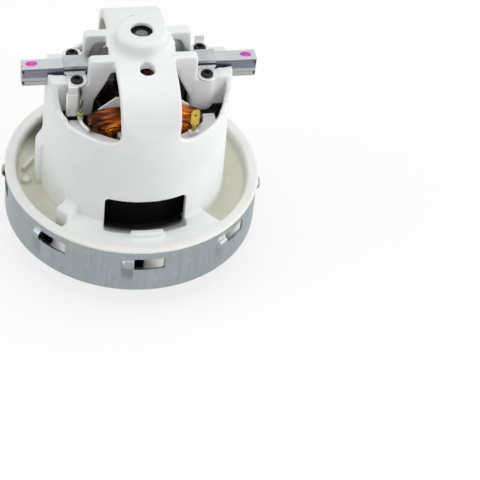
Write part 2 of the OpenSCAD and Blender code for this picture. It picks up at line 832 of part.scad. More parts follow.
// Tail bent down in front of the boss, for the left strap
module tail() {
    translate([-screw_x - 4.8, -boss_y - 2.8, boss_top])
        cube([4.8, 6, strap_t]);
    translate([-screw_x - 4.8, -boss_y - 2.8, boss_top - 14])
        cube([4.8, strap_t, 14.4]);
}

module brush_strap_left() color(steel) {
    difference() {
        union() {
            rotate([0, 0, 180])
                strap();
            tail();
        }
        translate([-screw_x, -screw_y, boss_top - 1])
            cylinder(r = 1.9, h = 5, $fn = 32);
    }
}

// The right strap carries an upright blade behind its screw
module brush_strap_right() color(steel) {
    difference() {
        union() {
            strap();
            translate([screw_x - 1.8, boss_y - 2, boss_top])
                cube([4.8, 5, strap_t]);
            translate([screw_x - 1.8, boss_y + 2.2, boss_top])
                cube([4.8, 0.8, 5]);
        }
        translate([screw_x, screw_y, boss_top - 1])
            cylinder(r = 1.9, h = 5, $fn = 32);
    }
}

module strap_screws() color(black) {
    both_y()
        both_x()
            translate([screw_x, screw_y, boss_top + strap_t]) {
                difference() {
                    rotate_extrude($fn = 48)
                        polygon([[0, 0], [3.1, 0], [3.1, 0.6], [2.85, 1.1], [2.2, 1.4], [0, 1.5]]);
                    for (a = [0, 60, 120])
                        rotate([0, 0, a])
                            translate([-1.5, -0.45, 0.4])
                                cube([3, 0.9, 3]);
                }
                translate([0, 0, -12])
                    cylinder(r = 1.75, h = 12.2, $fn = 32);
            }
}

brush_face = commutator_r + run_gap;
module carbon_brush() {
    difference() {
        translate([brush_face - 1.2, -brush_w / 2, brush_z - brush_h / 2])
            cube([brush_l + 1.2, brush_w, brush_h]);
        translate([0, 0, brush_z - 20])
            cylinder(r = brush_face, h = 40);
    }
}

module carbon_brush_left() color([0.13, 0.13, 0.14])
    rotate([0, 0, 180])
        carbon_brush();

module carbon_brush_right() color([0.13, 0.13, 0.14])
    carbon_brush();

spring_x0 = brush_face + brush_l + 0.4;
spring_x1 = tube_end - tube_t - 0.4;
spring_r = brush_w / 2 - 0.4;
spring_path = [for (i = [0:64]) let (u = i / 64)
    [mix(spring_x0, spring_x1, u), spring_r * cos(360 * 8 * u), brush_z + spring_r * sin(360 * 8 * u)]];

module brush_spring_left() color(steel)
    rotate([0, 0, 180])
        wire(spring_path, 0.28, 6, [1, 0, 0]);

module brush_spring_right() color(steel)
    wire(spring_path, 0.28, 6, [1, 0, 0]);

// White sleeve over the tail of the left strap
module lead_sleeve() color([0.93, 0.93, 0.93]) {
    difference() {
        translate([0, 0, boss_top - 16.3])
            linear_extrude(13)
                round_plan([-screw_x - 5.6, -boss_y - 3.6], [-screw_x + 0.4, -boss_y - 0.7], 1.2);
        translate([-screw_x - 4.85, -boss_y - 2.85, boss_top - 14.05])
            cube([4.9, strap_t + 0.1, 20]);
    }
}

// Leads from the straps to the coil ends, eased through their points
function eased(p, n) = [for (i = [0:n]) let (
    t = i / n * (len(p) - 1), k = min(floor(t), len(p) - 2), f = t - k,
    a = p[max(k - 1, 0)], b = p[k], c = p[k + 1], d = p[min(k + 2, len(p) - 1)])
    b + 0.5 * f * (c - a + f * (2 * a - 5 * b + 4 * c - d + f * (3 * (b - c) + d - a)))];
lead_points = [[-screw_x + 1, -boss_y - 1.5, boss_top - 0.4], [-screw_x + 1.6, -boss_y - 2.6, boss_top - 4],
    [-screw_x + 1.5, -boss_y - 4.6, boss_top - 8], [-screw_x + 1.2, -boss_y - 5.6, boss_top - 11],
    [-screw_x + 1.2, -boss_y - 5.6, boss_top - 12]];

module brush_lead_left() color([0.25, 0.32, 0.2])
    wire(eased(lead_points, 20), lead_r, 8, [1, 0, 0]);

module brush_lead_right() color([0.25, 0.32, 0.2])
    rotate([0, 0, 180])
        wire(eased(lead_points, 20), lead_r, 8, [1, 0, 0]);

// Crimped beads where the leads meet the coil ends
module lead_beads() color([0.8, 0.85, 0.3]) {
    half_turn()
        translate([-screw_x + 1.2, -boss_y - 5.6, boss_top - 16.4])
            cylinder(r = 1.5, h = 4.3, $fn = 32);
}

// Upper bearing
module bearing_boot() color(black) {
    rotate_extrude()
        polygon([[top_or, top_z - 0.9], [boot_r, top_z - 0.9], [boot_r, pocket_top], [top_or - 1.5, pocket_top],
            [top_or - 1.5, top_z + top_h], [top_or, top_z + top_h]]);
}

module bearing_top_seal() color(black)
    ring(top_r + 0.5, top_or - 1.55, top_z + top_h - 0.35, top_z + top_h + 0.05);

module bearing_top_outer() color(steel)
    ring(top_or - 1.5, top_or, top_z, top_z + top_h);

module bearing_top_inner() color(steel)
    ring(top_r, top_r + 1.5, top_z, top_z + top_h - 0.5);

module ball_set(r, z, b) {
    for (i = [0:6])
        rotate([0, 0, 360 * i / 7])
            translate([r, 0, z])
                sphere(b, $fn = 32);
    ring(r - 0.35, r + 0.35, z - 0.5, z + 0.5);
}

module ball_set_top() color(steel)
    ball_set(top_r + 3, top_z + top_h / 2, 1.5 - run_gap);

// Lower bearing
module bearing_low_outer() color(steel)
    ring(low_or - 2, low_or, low_z, low_z + low_h);

module bearing_low_inner() color(steel)
    ring(shaft_r, shaft_r + 2, low_z, low_z + low_h);

module ball_set_low() color(steel)
    ball_set((shaft_r + low_or) / 2, low_z + low_h / 2, (low_or - shaft_r - 4) / 2 - run_gap);

module bearing_retainer() color(zinc) {
    difference() {
        ring(low_or - 1.6, 17, low_z + low_h + 0.5, low_z + low_h + 1.5);
        for (a = [45, 165, 285])
            rotate([0, 0, a])
                translate([14.2, 0, low_z])
                    cylinder(r = 1.3, h = 20, $fn = 24);
    }
}

module retainer_screws() color(steel) {
    for (a = [45, 165, 285])
        rotate([0, 0, a])
            translate([14.2, 0, 0]) {
                translate([0, 0, low_z + 2])
                    cylinder(r = 1.25, h = low_h - 0.4, $fn = 24);
                translate([0, 0, low_z + low_h + 1.5])
                    cylinder(r = 2.3, h = 1.6, $fn = 24);
            }
}

module preload_washer() color(steel)
    ring(low_or - 1.6, low_or - 0.1, low_z + low_h, low_z + low_h + 0.5);

// Rotor
module shaft() color(steel) {
    rotate_extrude()
        polygon(concat([[0, shaft_end], [1.8, shaft_end], [3.2, shaft_end + 0.6], [shaft_r, shaft_end + 2],
            [shaft_r, com_z1 + 1], [top_r, com_z1 + 1.5], [top_r, top_z + top_h + 0.1],
            [top_r - 0.5, top_z + top_h + 0.6], [0, top_z + top_h + 0.6]]));
}

module armature_core() color([0.22, 0.22, 0.24]) {
    translate([0, 0, core_z + 0.4])
        linear_extrude(core_h - 0.8)
            difference() {
                circle(armature_r);
                circle(shaft_r);
                for (i = [0:11])
                    rotate([0, 0, 30 * i])
                        translate([armature_r - 5.5, -0.9])
                            square([10, 1.8]);
            }
}

module armature_winding() color([0.3, 0.14, 0.06]) {
    rotate_extrude()
        polygon([[6, core_top - 0.4], [armature_r - 2.6, core_top - 0.4], [armature_r - 2.3, core_top + 2],
            [armature_r - 3.5, core_top + 6], [15, com_z0 - 1.2], [6, com_z0 - 1.2]]);
    rotate_extrude()
        polygon([[6, core_z - 10], [15, core_z - 10], [armature_r - 3.5, core_z - 7],
            [armature_r - 2.3, core_z - 2], [armature_r - 2.6, core_z + 0.4], [6, core_z + 0.4]]);
    // Slot sides of the coils
    for (i = [0:11])
        rotate([0, 0, 30 * i])
            translate([armature_r - 5.4, -0.8, core_z - 1.5])
                cube([4, 1.6, core_h + 3]);
}

module commutator_hub() color([0.25, 0.13, 0.08])
    ring(shaft_r, commutator_r - 3, com_z0 - 1, com_z1);

module commutator() color(copper) {
    difference() {
        union() {
            ring(commutator_r - 3, commutator_r, com_z0, com_z1);
            ring(commutator_r - 3, commutator_r + 1.6, com_z0, com_z0 + 1.6);
        }
        for (i = [0:11])
            rotate([0, 0, 15 * i])
                translate([-20, -0.25, com_z0 - 1])
                    difference() {
                        cube([40, 0.5, 40]);
                        translate([20, 0, 0])
                            cylinder(r = commutator_r - 1.2, h = 50);
                    }
    }
}

module fan_spacer() color(steel)
    ring(shaft_r, shaft_r + 2.6, back_z + plate_t + 1, low_z);

module fan_washer_inner() color(steel)
    ring(shaft_r, 10, back_z + plate_t, back_z + plate_t + 1);

module fan_back_plate() color([0.6, 0.64, 0.68])
    ring(shaft_r, fan_r, back_z, back_z + plate_t);

inlet_r = eye_r + 2;
front_path = [[inlet_r, 3.4], [step_r - 4.5, cone_z + 3], [fan_r, ring_z + 3.4]];

module fan_front_plate() color([0.6, 0.64, 0.68])
    rotate_extrude($fn = 180)
        sheet(front_path, plate_t);

blade_path = [for (i = [0:10]) let (u = i / 10, r = mix(19.5, fan_r - 0.5, u), a = 62 * pow(u, 0.8))
    [r * cos(a), r * sin(a)]];

module fan_blades() color([0.32, 0.34, 0.36]) {
    intersection() {
        for (i = [0:blade_count - 1])
            rotate([0, 0, 360 * i / blade_count])
                linear_extrude(back_z)
                    sheet(blade_path, 0.8);
        rotate_extrude($fn = 180)
            polygon(concat([[10, 3.4 + plate_t]], shifted(front_path, plate_t), [[fan_r, back_z], [10, back_z]]));
    }
}

module fan_washer_outer() color(zinc)
    ring(shaft_r, 11.5, back_z - 1.7, back_z);

module fan_nut() color(steel) {
    difference() {
        union() {
            translate([0, 0, back_z - 8.2])
                cylinder(r = nut_af / 2 / cos(30), h = 6.5, $fn = 6);
            translate([0, 0, back_z - 10])
                cylinder(r = nut_af / 2 - 1, h = 2);
        }
        translate([0, 0, back_z - 12])
            cylinder(r = shaft_r, h = 20);
    }
}

fan_cover();
motor_bracket();
guide_plate();
baffle_front();
baffle_back();
field_core();
field_screws();
slot_liners();
coil_former_front();
coil_former_back();
field_coil_front();
field_coil_back();
field_winding_front();
field_winding_back();
field_tags();
brush_tube_left();
brush_tube_right();
brush_strap_left();
brush_strap_right();
strap_screws();
brush_spring_left();
brush_spring_right();
carbon_brush_left();
carbon_brush_right();
lead_sleeve();
brush_lead_left();
brush_lead_right();
lead_beads();
bearing_boot();
bearing_top_seal();
bearing_top_outer();
bearing_top_inner();
ball_set_top();
bearing_low_outer();
bearing_low_inner();
ball_set_low();
bearing_retainer();
retainer_screws();
preload_washer();
shaft();
armature_core();
armature_winding();
commutator_hub();
commutator();
fan_spacer();
fan_washer_inner();
fan_back_plate();
fan_blades();
fan_front_plate();
fan_washer_outer();
fan_nut();
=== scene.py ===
import json
import math
from functools import partial
import bpy
import bmesh
import numpy as np
from mathutils import Matrix, Vector


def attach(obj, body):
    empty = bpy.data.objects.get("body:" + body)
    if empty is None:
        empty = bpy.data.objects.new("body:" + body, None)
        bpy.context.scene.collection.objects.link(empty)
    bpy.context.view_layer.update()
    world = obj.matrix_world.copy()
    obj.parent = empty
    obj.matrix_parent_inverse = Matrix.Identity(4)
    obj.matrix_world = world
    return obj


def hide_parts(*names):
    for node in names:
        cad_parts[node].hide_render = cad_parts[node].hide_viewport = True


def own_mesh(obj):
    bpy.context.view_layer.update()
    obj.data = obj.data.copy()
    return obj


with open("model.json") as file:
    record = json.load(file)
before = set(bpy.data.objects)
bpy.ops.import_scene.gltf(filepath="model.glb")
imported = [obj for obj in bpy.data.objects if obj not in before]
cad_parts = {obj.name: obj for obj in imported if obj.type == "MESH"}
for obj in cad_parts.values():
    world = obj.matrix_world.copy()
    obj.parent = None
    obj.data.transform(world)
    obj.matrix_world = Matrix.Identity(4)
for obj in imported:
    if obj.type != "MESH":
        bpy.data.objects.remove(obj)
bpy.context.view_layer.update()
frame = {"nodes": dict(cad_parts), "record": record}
nodes = frame["nodes"]
bodyOf = {n: b for b, members in frame["record"]["behaviour"]["bodies"].items() for n in members}
mm = 0.001
print("frame loaded:", len(nodes), "nodes")

# Camera: same place, tilt and framing as the upright motor in the photograph
cameraLook = {"elevation": 40.892, "turn": 11.0, "roll": 4.222, "distance": 0.9, "aim": (0, 0, 0.052),
              "lens": 132.27, "sensor": 36, "shift": (0.2225, -0.1969), "clip": (0.01, 20)}


def placeCamera(look):
    e, t, r = (math.radians(look[k]) for k in ("elevation", "turn", "roll"))
    back = Vector((-math.cos(e) * math.sin(t), -math.cos(e) * math.cos(t), math.sin(e)))
    right = Vector((math.cos(t), -math.sin(t), 0))
    up = back.cross(right)
    x = right * math.cos(r) + up * math.sin(r)
    y = up * math.cos(r) - right * math.sin(r)
    cam = bpy.data.objects.new("camera", bpy.data.cameras.new("camera"))
    bpy.context.scene.collection.objects.link(cam)
    cam.data.lens, cam.data.sensor_width = look["lens"], look["sensor"]
    cam.data.shift_x, cam.data.shift_y = look["shift"]
    cam.data.clip_start, cam.data.clip_end = look["clip"]
    stand = Matrix.Translation(Vector(look["aim"]) + back * look["distance"])
    cam.matrix_world = stand @ Matrix((x, y, back)).transposed().to_4x4()
    bpy.context.scene.camera = cam


placeCamera(cameraLook)


# Nodes and colours
def hexColour(text):  # sRGB hex to linear
    c = np.array([int(text[i:i + 2], 16) for i in (1, 3, 5)]) / 255
    return (*np.where(c <= 0.04045, c / 12.92, ((c + 0.055) / 1.055) ** 2.4).tolist(), 1.0)


# New node with its settings and links; gives one of its outputs, or all of them
def addNode(tree, kind, values=None, out=0, **settings):
    n = tree.nodes.new("ShaderNode" + kind)
    for k, v in settings.items():
        setattr(n, k, v)
    for k, v in (values or {}).items():
        if isinstance(v, bpy.types.NodeSocket):
            tree.links.new(v, n.inputs[k])
        else:
            n.inputs[k].default_value = hexColour(v) if isinstance(v, str) else v
    return n.outputs if out is None else n.outputs[out]


# New material with its fixed sockets; gives what adds nodes to it, and its Object coordinates
def startMaterial(name, **sockets):
    m = bpy.data.materials.new(name)
    m.use_nodes = True
    shader = m.node_tree.nodes["Principled BSDF"]
    for k, v in sockets.items():
        shader.inputs[k.replace("_", " ")].default_value = v
    add = partial(addNode, m.node_tree)
    return m, add, add("TexCoord", out="Object")


def linkSockets(m, **outputs):  # node outputs to the shader's sockets
    shader = m.node_tree.nodes["Principled BSDF"]
    for k, v in outputs.items():
        m.node_tree.links.new(v, shader.inputs[k.replace("_", " ")])
    return m


# Settings that come back often: colours mixed, a value moved smoothly to a new range, products, sums, sizes
colours = {"out": 2, "data_type": "RGBA"}
smooth = {"interpolation_type": "SMOOTHSTEP"}
times = {"operation": "MULTIPLY"}
plus = {"operation": "ADD"}
size = {"operation": "ABSOLUTE"}
noiseSpan = {1: 0.3, 2: 0.7}  # where most of a noise lies

# In the looks below a range is 1 from, 2 to, 3 and 4 what these give; places are in metres

# White glass-filled moulding: fine matt skin, slightly uneven in tone, yellowed by grease and darkened with
# painted shade in the channel, grimy with painted shade at its back on the left, painted shade at the catches
# and their pockets, and behind the exhaust window
whiteLook = {"tones": ("#E9EBEB", "#E2E5E4"), "rimTone": "#E3E2DA", "greaseTone": "#CFCEB9",
             "grimeTone": "#3A3626", "soilTone": "#4A4A45", "pocketTone": "#0B0B0C", "sootTone": "#1B1C1D",
             "cloudy": {1: 0.35, 2: 0.7}, "rough": {1: 0.3, 2: 0.7, 3: 0.38, 4: 0.5}, "grainDepth": 0.00002,
             "channelOuter": {1: 0.0601, 2: 0.0595}, "channelInner": {1: 0.0468, 2: 0.0476},
             "channelDeep": {1: 0.0392, 2: 0.0335}, "greaseSmear": {1: 0.3, 2: 0.7, 3: 0.7, 4: 0.95},
             "grimeBack": {1: 0.017, 2: 0.036}, "grimeLeft": {1: -0.024, 2: -0.034},
             "rimInner": {1: 0.0588, 2: 0.0606}, "rimSmear": {1: 0.4, 2: 0.7, 3: 0.2, 4: 0.8},
             "catches": 8, "catchRadius": 0.0625, "catchOuter": {1: 0.0598, 2: 0.0602},
             "catchLow": {1: 0.0362, 2: 0.0354}, "soil": {1: -0.0035, 2: 0.0055, 3: 0.88, 4: 0.1},
             "pocket": {1: -0.0022, 2: -0.003},
             "sootInner": {1: 0.0478, 2: 0.0472}, "sootLow": {1: 0.0412, 2: 0.0396},
             "sootWide": {1: 0.0212, 2: 0.0206}, "sootDeep": {1: 0.0462, 2: 0.0402, 3: 0.1, 4: 1.0}}


def makeWhiteMoulding(look):
    m, add, place = startMaterial("whiteMoulding", IOR=1.5)
    x, y, z = add("SeparateXYZ", {0: place}, None)
    far = add("VectorMath", {0: add("CombineXYZ", {0: x, 1: y})}, 1, operation="LENGTH")
    cloud = add("TexNoise", {"Vector": place, "Scale": 28, "Detail": 3})  # 35 mm clouds
    skin = add("TexNoise", {"Vector": place, "Scale": 1400, "Detail": 2})  # 0.7 mm grain
    smear = add("TexNoise", {"Vector": place, "Scale": 120, "Detail": 4})  # 8 mm smears
    # Channel floor: greasy in smears and darkened with painted shade, grimy and painted shade at the back on
    # the left
    outer = add("MapRange", {0: far, **look["channelOuter"]}, **smooth)
    inner = add("MapRange", {0: far, **look["channelInner"]}, **smooth)
    deep = add("MapRange", {0: z, **look["channelDeep"]}, **smooth)
    greaseAndShade = add("Math", {0: add("Math", {0: outer, 1: inner}, **times), 1: deep}, **times)
    greaseAndShade = add("Math", {0: greaseAndShade, 1: add("MapRange", {0: smear, **look["greaseSmear"]})}, **times)
    back = add("MapRange", {0: y, **look["grimeBack"]}, **smooth)
    left = add("MapRange", {0: x, **look["grimeLeft"]}, **smooth)
    grimeAndShade = add("Math", {0: add("Math", {0: back, 1: left}, **times), 1: greaseAndShade}, **times)
    rim = add("Math", {0: add("MapRange", {0: far, **look["rimInner"]}, **smooth),
                       1: add("MapRange", {0: smear, **look["rimSmear"]}, **smooth)}, **times)
    # Catches: the way round from each window's middle, in metres; painted shade darkening towards the open
    # pocket, near black in the pocket
    half = math.pi / look["catches"]
    angle = add("Math", {0: y, 1: x}, operation="ARCTAN2")
    angle = add("Math", {0: angle, 1: half, 2: -half}, operation="WRAP")
    beside = add("Math", {0: angle, 1: look["catchRadius"]}, **times)
    catch = add("Math", {0: add("MapRange", {0: far, **look["catchOuter"]}, **smooth),
                         1: add("MapRange", {0: z, **look["catchLow"]}, **smooth)}, **times)
    soiled = add("Math", {0: catch, 1: add("MapRange", {0: beside, **look["soil"]})}, **times)
    pocket = add("Math", {0: catch, 1: add("MapRange", {0: beside, **look["pocket"]}, **smooth)}, **times)
    # Floor behind the exhaust window: painted shade, darker towards the baffle
    windowShade = add("Math", {0: add("MapRange", {0: far, **look["sootInner"]}, **smooth),
                         1: add("MapRange", {0: z, **look["sootLow"]}, **smooth)}, **times)
    aside = add("Math", {0: x}, **size)
    windowShade = add("Math", {0: windowShade, 1: add("MapRange", {0: aside, **look["sootWide"]}, **smooth)}, **times)
    windowShade = add("Math", {0: windowShade, 1: add("MapRange", {0: far, **look["sootDeep"]}, **smooth)}, **times)
    share = add("MapRange", {0: cloud, **look["cloudy"]}, **smooth)
    tone = add("Mix", {0: share, 6: look["tones"][0], 7: look["tones"][1]}, **colours)
    # Laid over the skin: rim tone, grease with painted shade, grime with painted shade, painted shade at the
    # catches and in their pockets, painted shade behind the exhaust window
    for share, over in ((rim, "rimTone"), (greaseAndShade, "greaseTone"), (grimeAndShade, "grimeTone"),
                        (soiled, "soilTone"), (pocket, "pocketTone"), (windowShade, "sootTone")):
        tone = add("Mix", {0: share, 6: tone, 7: look[over]}, **colours)
    rough = add("MapRange", {0: skin, **look["rough"]})
    bump = add("Bump", {"Height": skin, "Distance": look["grainDepth"], "Strength": 0.5})
    return linkSockets(m, Base_Color=tone, Roughness=rough, Normal=bump)


# Zinc-plated deep-drawn sheet: faint upright draw marks on the band, soft spangle, scuffs, a little grease
zincLook = {"tones": ("#979FA3", "#A5ACB0"), "bandTone": "#99A4A5", "spangleTone": "#7F8B92",
            "scuffTone": "#BBC1C3", "dullTone": "#79838A", "greaseTone": "#A9AE92", "drawn": (1, 1, 0.045),
            "streaks": {1: 0.3, 2: 0.72}, "bands": {1: 0.4, 2: 0.68, 4: 0.6}, "spangle": {4: 0.12},
            "scuffs": {1: 0.56, 2: 0.72, 4: 0.45}, "dull": {1: 0.42, 2: 0.3, 4: 0.4},
            "grease": {1: 0.52, 2: 0.68, 4: 0.4}, "greaseHigh": {1: 0.03, 2: 0.037},
            "streakRough": {1: 0.25, 2: 0.75, 3: 0.32, 4: 0.44}, "scuffRough": {1: 0.45, 2: 0.75, 4: 0.14},
            "streakDepth": 0.00003}


def makeZincSheet(look):
    m, add, place = startMaterial("zincSheet", Metallic=1.0)
    z = add("SeparateXYZ", {0: place}, 2)
    drawn = add("Mapping", {"Vector": place, "Scale": look["drawn"]})
    streak = add("TexNoise", {"Vector": drawn, "Scale": 620, "Detail": 4, "Roughness": 0.65})  # 1.6 mm lines
    broad = add("TexNoise", {"Vector": drawn, "Scale": 95, "Detail": 2})  # 10 mm bands
    crystal = add("TexVoronoi", {"Vector": place, "Scale": 330}, "Color")  # 3 mm spangle
    crystal = add("SeparateColor", {0: crystal})
    scuff = add("TexNoise", {"Vector": place, "Scale": 150, "Detail": 6, "Roughness": 0.7})  # 7 mm scuffs
    grease = add("TexNoise", {"Vector": place, "Scale": 60, "Detail": 4})  # 16 mm smears
    share = add("MapRange", {0: streak, **look["streaks"]}, **smooth)
    tone = add("Mix", {0: share, 6: look["tones"][0], 7: look["tones"][1]}, **colours)
    bands = add("MapRange", {0: broad, **look["bands"]}, **smooth)
    spangle = add("MapRange", {0: crystal, **look["spangle"]})
    scuffs = add("MapRange", {0: scuff, **look["scuffs"]}, **smooth)
    dull = add("MapRange", {0: scuff, **look["dull"]}, **smooth)
    soiled = add("Math", {0: add("MapRange", {0: grease, **look["grease"]}, **smooth),
                          1: add("MapRange", {0: z, **look["greaseHigh"]}, **smooth)}, **times)
    for share, over in ((bands, "bandTone"), (spangle, "spangleTone"), (scuffs, "scuffTone"),
                        (dull, "dullTone"), (soiled, "greaseTone")):
        tone = add("Mix", {0: share, 6: tone, 7: look[over]}, **colours)
    rough = add("Math", {0: add("MapRange", {0: streak, **look["streakRough"]}),
                         1: add("MapRange", {0: scuff, **look["scuffRough"]})}, **plus)
    bump = add("Bump", {"Height": streak, "Distance": look["streakDepth"], "Strength": 0.35})
    return linkSockets(m, Base_Color=tone, Roughness=rough, Normal=bump)


# Drawn light metal of the brush tubes: satin, fine lines along the draw, bright on top, painted shade
# darkening the sides below the top edge, dark open seams at the folded outer ends and a dab of marking paint
# near them
tubeLook = {"tones": ("#BEC1C5", "#C9CBCF"), "cloudTone": "#BBBEC2", "lowTone": "#A6A9A7",
            "flankTones": ("#737785", "#888C99"), "slitTone": "#1C1C1F", "paintTones": ("#B3229B", "#DA45C0"),
            "along": (0.06, 1, 1), "lines": {1: 0.3, 2: 0.7}, "clouds": {1: 0.5, 2: 0.75, 4: 0.25},
            "outer": {1: 0.0031, 2: 0.0034}, "below": {1: 0.1078, 2: 0.1073}, "flank": {1: 0.102, 2: 0.1024},
            "end": {1: 0.0566, 2: 0.057}, "slitHeights": (0.1058, 0.0996), "slit": {1: 0.0009, 2: 0.0006},
            "dabAlong": {1: 0.0532, 2: 0.0561}, "dabAcross": {1: 0.0001, 2: 0.0022},
            "ragged": {1: 0.3, 2: 0.7, 3: -0.1, 4: 0.1}, "dabEdge": {1: 1.03, 2: 0.95},
            "dabTop": {1: 0.1074, 2: 0.1077}, "dabShare": {1: 0.4, 2: 0.6},
            "rough": {1: 0.3, 2: 0.7, 3: 0.24, 4: 0.34}, "paintRough": 0.5, "lineDepth": 0.000006}


def makeTubeMetal(look):
    m, add, place = startMaterial("drawnTubeMetal")
    x, y, z = add("SeparateXYZ", {0: place}, None)
    far = add("Math", {0: x}, **size)
    across = add("Math", {0: y}, **size)
    along = add("Mapping", {"Vector": place, "Scale": look["along"]})
    line = add("TexNoise", {"Vector": along, "Scale": 1500, "Detail": 3})  # 0.7 mm lines
    cloud = add("TexNoise", {"Vector": place, "Scale": 160, "Detail": 3})  # 6 mm clouds
    ragged = add("TexNoise", {"Vector": place, "Scale": 420, "Detail": 2})  # 2.4 mm, edge of the paint
    worn = add("MapRange", {0: line, **look["lines"]}, **smooth)
    clouds = add("MapRange", {0: cloud, **look["clouds"]}, **smooth)
    # Painted shade: the sides below the top edge darker, the upper flank band darker still
    outer = add("MapRange", {0: across, **look["outer"]}, **smooth)
    below = add("Math", {0: outer, 1: add("MapRange", {0: z, **look["below"]}, **smooth)}, **times)
    flank = add("Math", {0: below, 1: add("MapRange", {0: z, **look["flank"]}, **smooth)}, **times)
    # Seams at the folded ends: two short dark slits
    end = add("MapRange", {0: far, **look["end"]}, **smooth)
    upper, lower = (add("Math", {0: add("Math", {0: z, 1: -h}, **plus)}, **size) for h in look["slitHeights"])
    slit = add("Math", {0: upper, 1: lower}, operation="MINIMUM")
    slit = add("Math", {0: add("MapRange", {0: slit, **look["slit"]}, **smooth), 1: end}, **times)
    # Paint: an oval 5.8 by 4.2 mm with a ragged edge
    du = add("MapRange", {0: far, **look["dabAlong"]}, clamp=False)
    dv = add("MapRange", {0: y, **look["dabAcross"]}, clamp=False)
    reach = add("VectorMath", {0: add("CombineXYZ", {0: du, 1: dv})}, 1, operation="LENGTH")
    reach = add("Math", {0: reach, 1: add("MapRange", {0: ragged, **look["ragged"]})}, **plus)
    dab = add("Math", {0: add("MapRange", {0: reach, **look["dabEdge"]}, **smooth),
                       1: add("MapRange", {0: z, **look["dabTop"]}, **smooth)}, **times)
    cover = add("Math", {0: dab, 1: slit}, operation="MAXIMUM")
    # Painted shade tones of the flank band
    dull = add("Mix", {0: worn, 6: look["flankTones"][0], 7: look["flankTones"][1]}, **colours)
    share = add("MapRange", {0: ragged, **look["dabShare"]}, **smooth)
    paint = add("Mix", {0: share, 6: look["paintTones"][0], 7: look["paintTones"][1]}, **colours)
    tone = add("Mix", {0: worn, 6: look["tones"][0], 7: look["tones"][1]}, **colours)
    for share, over in ((clouds, look["cloudTone"]), (below, look["lowTone"]), (flank, dull),
                        (slit, look["slitTone"]), (dab, paint)):
        tone = add("Mix", {0: share, 6: tone, 7: over}, **colours)
    metal = add("Math", {0: 1.0, 1: cover}, operation="SUBTRACT")
    rough = add("MapRange", {0: cloud, **look["rough"]})
    rough = add("Mix", {0: cover, 2: rough, 3: look["paintRough"]}, data_type="FLOAT")
    bump = add("Bump", {"Height": line, "Distance": look["lineDepth"], "Strength": 0.3})
    return linkSockets(m, Base_Color=tone, Metallic=metal, Roughness=rough, Normal=bump)


# Tin-plated pressed strap: smooth dull silver, with painted highlight on the lobes, a painted shadow as a
# dark line under the saddle's edge, and the blade painted nearly white and not metallic as a painted
# highlight
strapLook = {"tones": ("#A9ACB0", "#B9BBBE"), "lobeTone": "#DADCDD", "seamTone": "#33353A",
             "bladeTone": "#FBFBFB", "mottled": {1: 0.3, 2: 0.7}, "lobe": {1: 0.1062, 2: 0.1054},
             "seamHeight": 0.10665, "seam": {1: 0.0008, 2: 0.0005}, "saddle": {1: 0.0065, 2: 0.006},
             "blade": {1: 0.0149, 2: 0.0153}, "metal": {3: 0.6, 4: 0.0},
             "rough": {1: 0.3, 2: 0.7, 3: 0.36, 4: 0.48}, "grainDepth": 0.000006}


def makeStrapMetal(look):
    m, add, place = startMaterial("tinnedStrap")
    y, z = add("SeparateXYZ", {0: place}, None)[1:3]
    mottle = add("TexNoise", {"Vector": place, "Scale": 120, "Detail": 3})  # 8 mm clouds
    fine = add("TexNoise", {"Vector": place, "Scale": 2500, "Detail": 2})  # 0.4 mm grain
    across = add("Math", {0: y}, **size)
    # Painted highlight on the lobes, painted shadow under the saddle's edge, painted highlight on the blade
    lobe = add("MapRange", {0: z, **look["lobe"]}, **smooth)
    seam = add("Math", {0: add("Math", {0: z, 1: -look["seamHeight"]}, **plus)}, **size)
    seam = add("Math", {0: add("MapRange", {0: seam, **look["seam"]}, **smooth),
                        1: add("MapRange", {0: across, **look["saddle"]}, **smooth)}, **times)
    blade = add("MapRange", {0: y, **look["blade"]}, **smooth)
    share = add("MapRange", {0: mottle, **look["mottled"]}, **smooth)
    tone = add("Mix", {0: share, 6: look["tones"][0], 7: look["tones"][1]}, **colours)
    for share, over in ((lobe, "lobeTone"), (seam, "seamTone"), (blade, "bladeTone")):
        tone = add("Mix", {0: share, 6: tone, 7: look[over]}, **colours)
    metal = add("MapRange", {0: blade, **look["metal"]})
    rough = add("MapRange", {0: fine, **look["rough"]})
    bump = add("Bump", {"Height": fine, "Distance": look["grainDepth"], "Strength": 0.3})
    return linkSockets(m, Base_Color=tone, Metallic=metal, Roughness=rough, Normal=bump)


# Enamelled copper wire: amber varnish over copper, so the gloss is clear; each wire has its own tone, from
# orange to dark brown, with painted highlights and painted shade laid into that tone on the field coils
copperLook = {"lowShare": {1: 0.1, 2: 0.5}, "highShare": {1: 0.5, 2: 0.95},
              "specks": {1: 0.55, 2: 0.75, 4: 0.3}, "metal": 0.8, "coat": 0.15, "coatRough": 0.1,
              "roughFrom": -0.06, "roughTo": 0.1}


def makeCopperWire(look, name, deep, middle, bright, gloss, byWire):
    m, add, place = startMaterial(name, Metallic=look["metal"], Coat_Weight=look["coat"],
                                  Coat_Roughness=look["coatRough"])
    fine = add("TexNoise", {"Vector": place, "Scale": 1700, "Detail": 2})  # 0.6 mm, one wire
    if byWire:
        amount = add("Attribute", None, 2, attribute_name="wireTone")
    else:
        amount = add("TexNoise", {"Vector": place, "Scale": 300, "Detail": 3})  # 3.3 mm patches
    tone = add("Mix", {0: add("MapRange", {0: amount, **look["lowShare"]}), 6: deep, 7: middle}, **colours)
    tone = add("Mix", {0: add("MapRange", {0: amount, **look["highShare"]}), 6: tone, 7: bright}, **colours)
    specks = add("MapRange", {0: fine, **look["specks"]}, **smooth)
    tone = add("Mix", {0: specks, 6: tone, 7: deep}, **colours)
    ends = {3: gloss + look["roughFrom"], 4: gloss + look["roughTo"]}
    rough = add("MapRange", {0: fine, **noiseSpan, **ends})
    return linkSockets(m, Base_Color=tone, Roughness=rough)


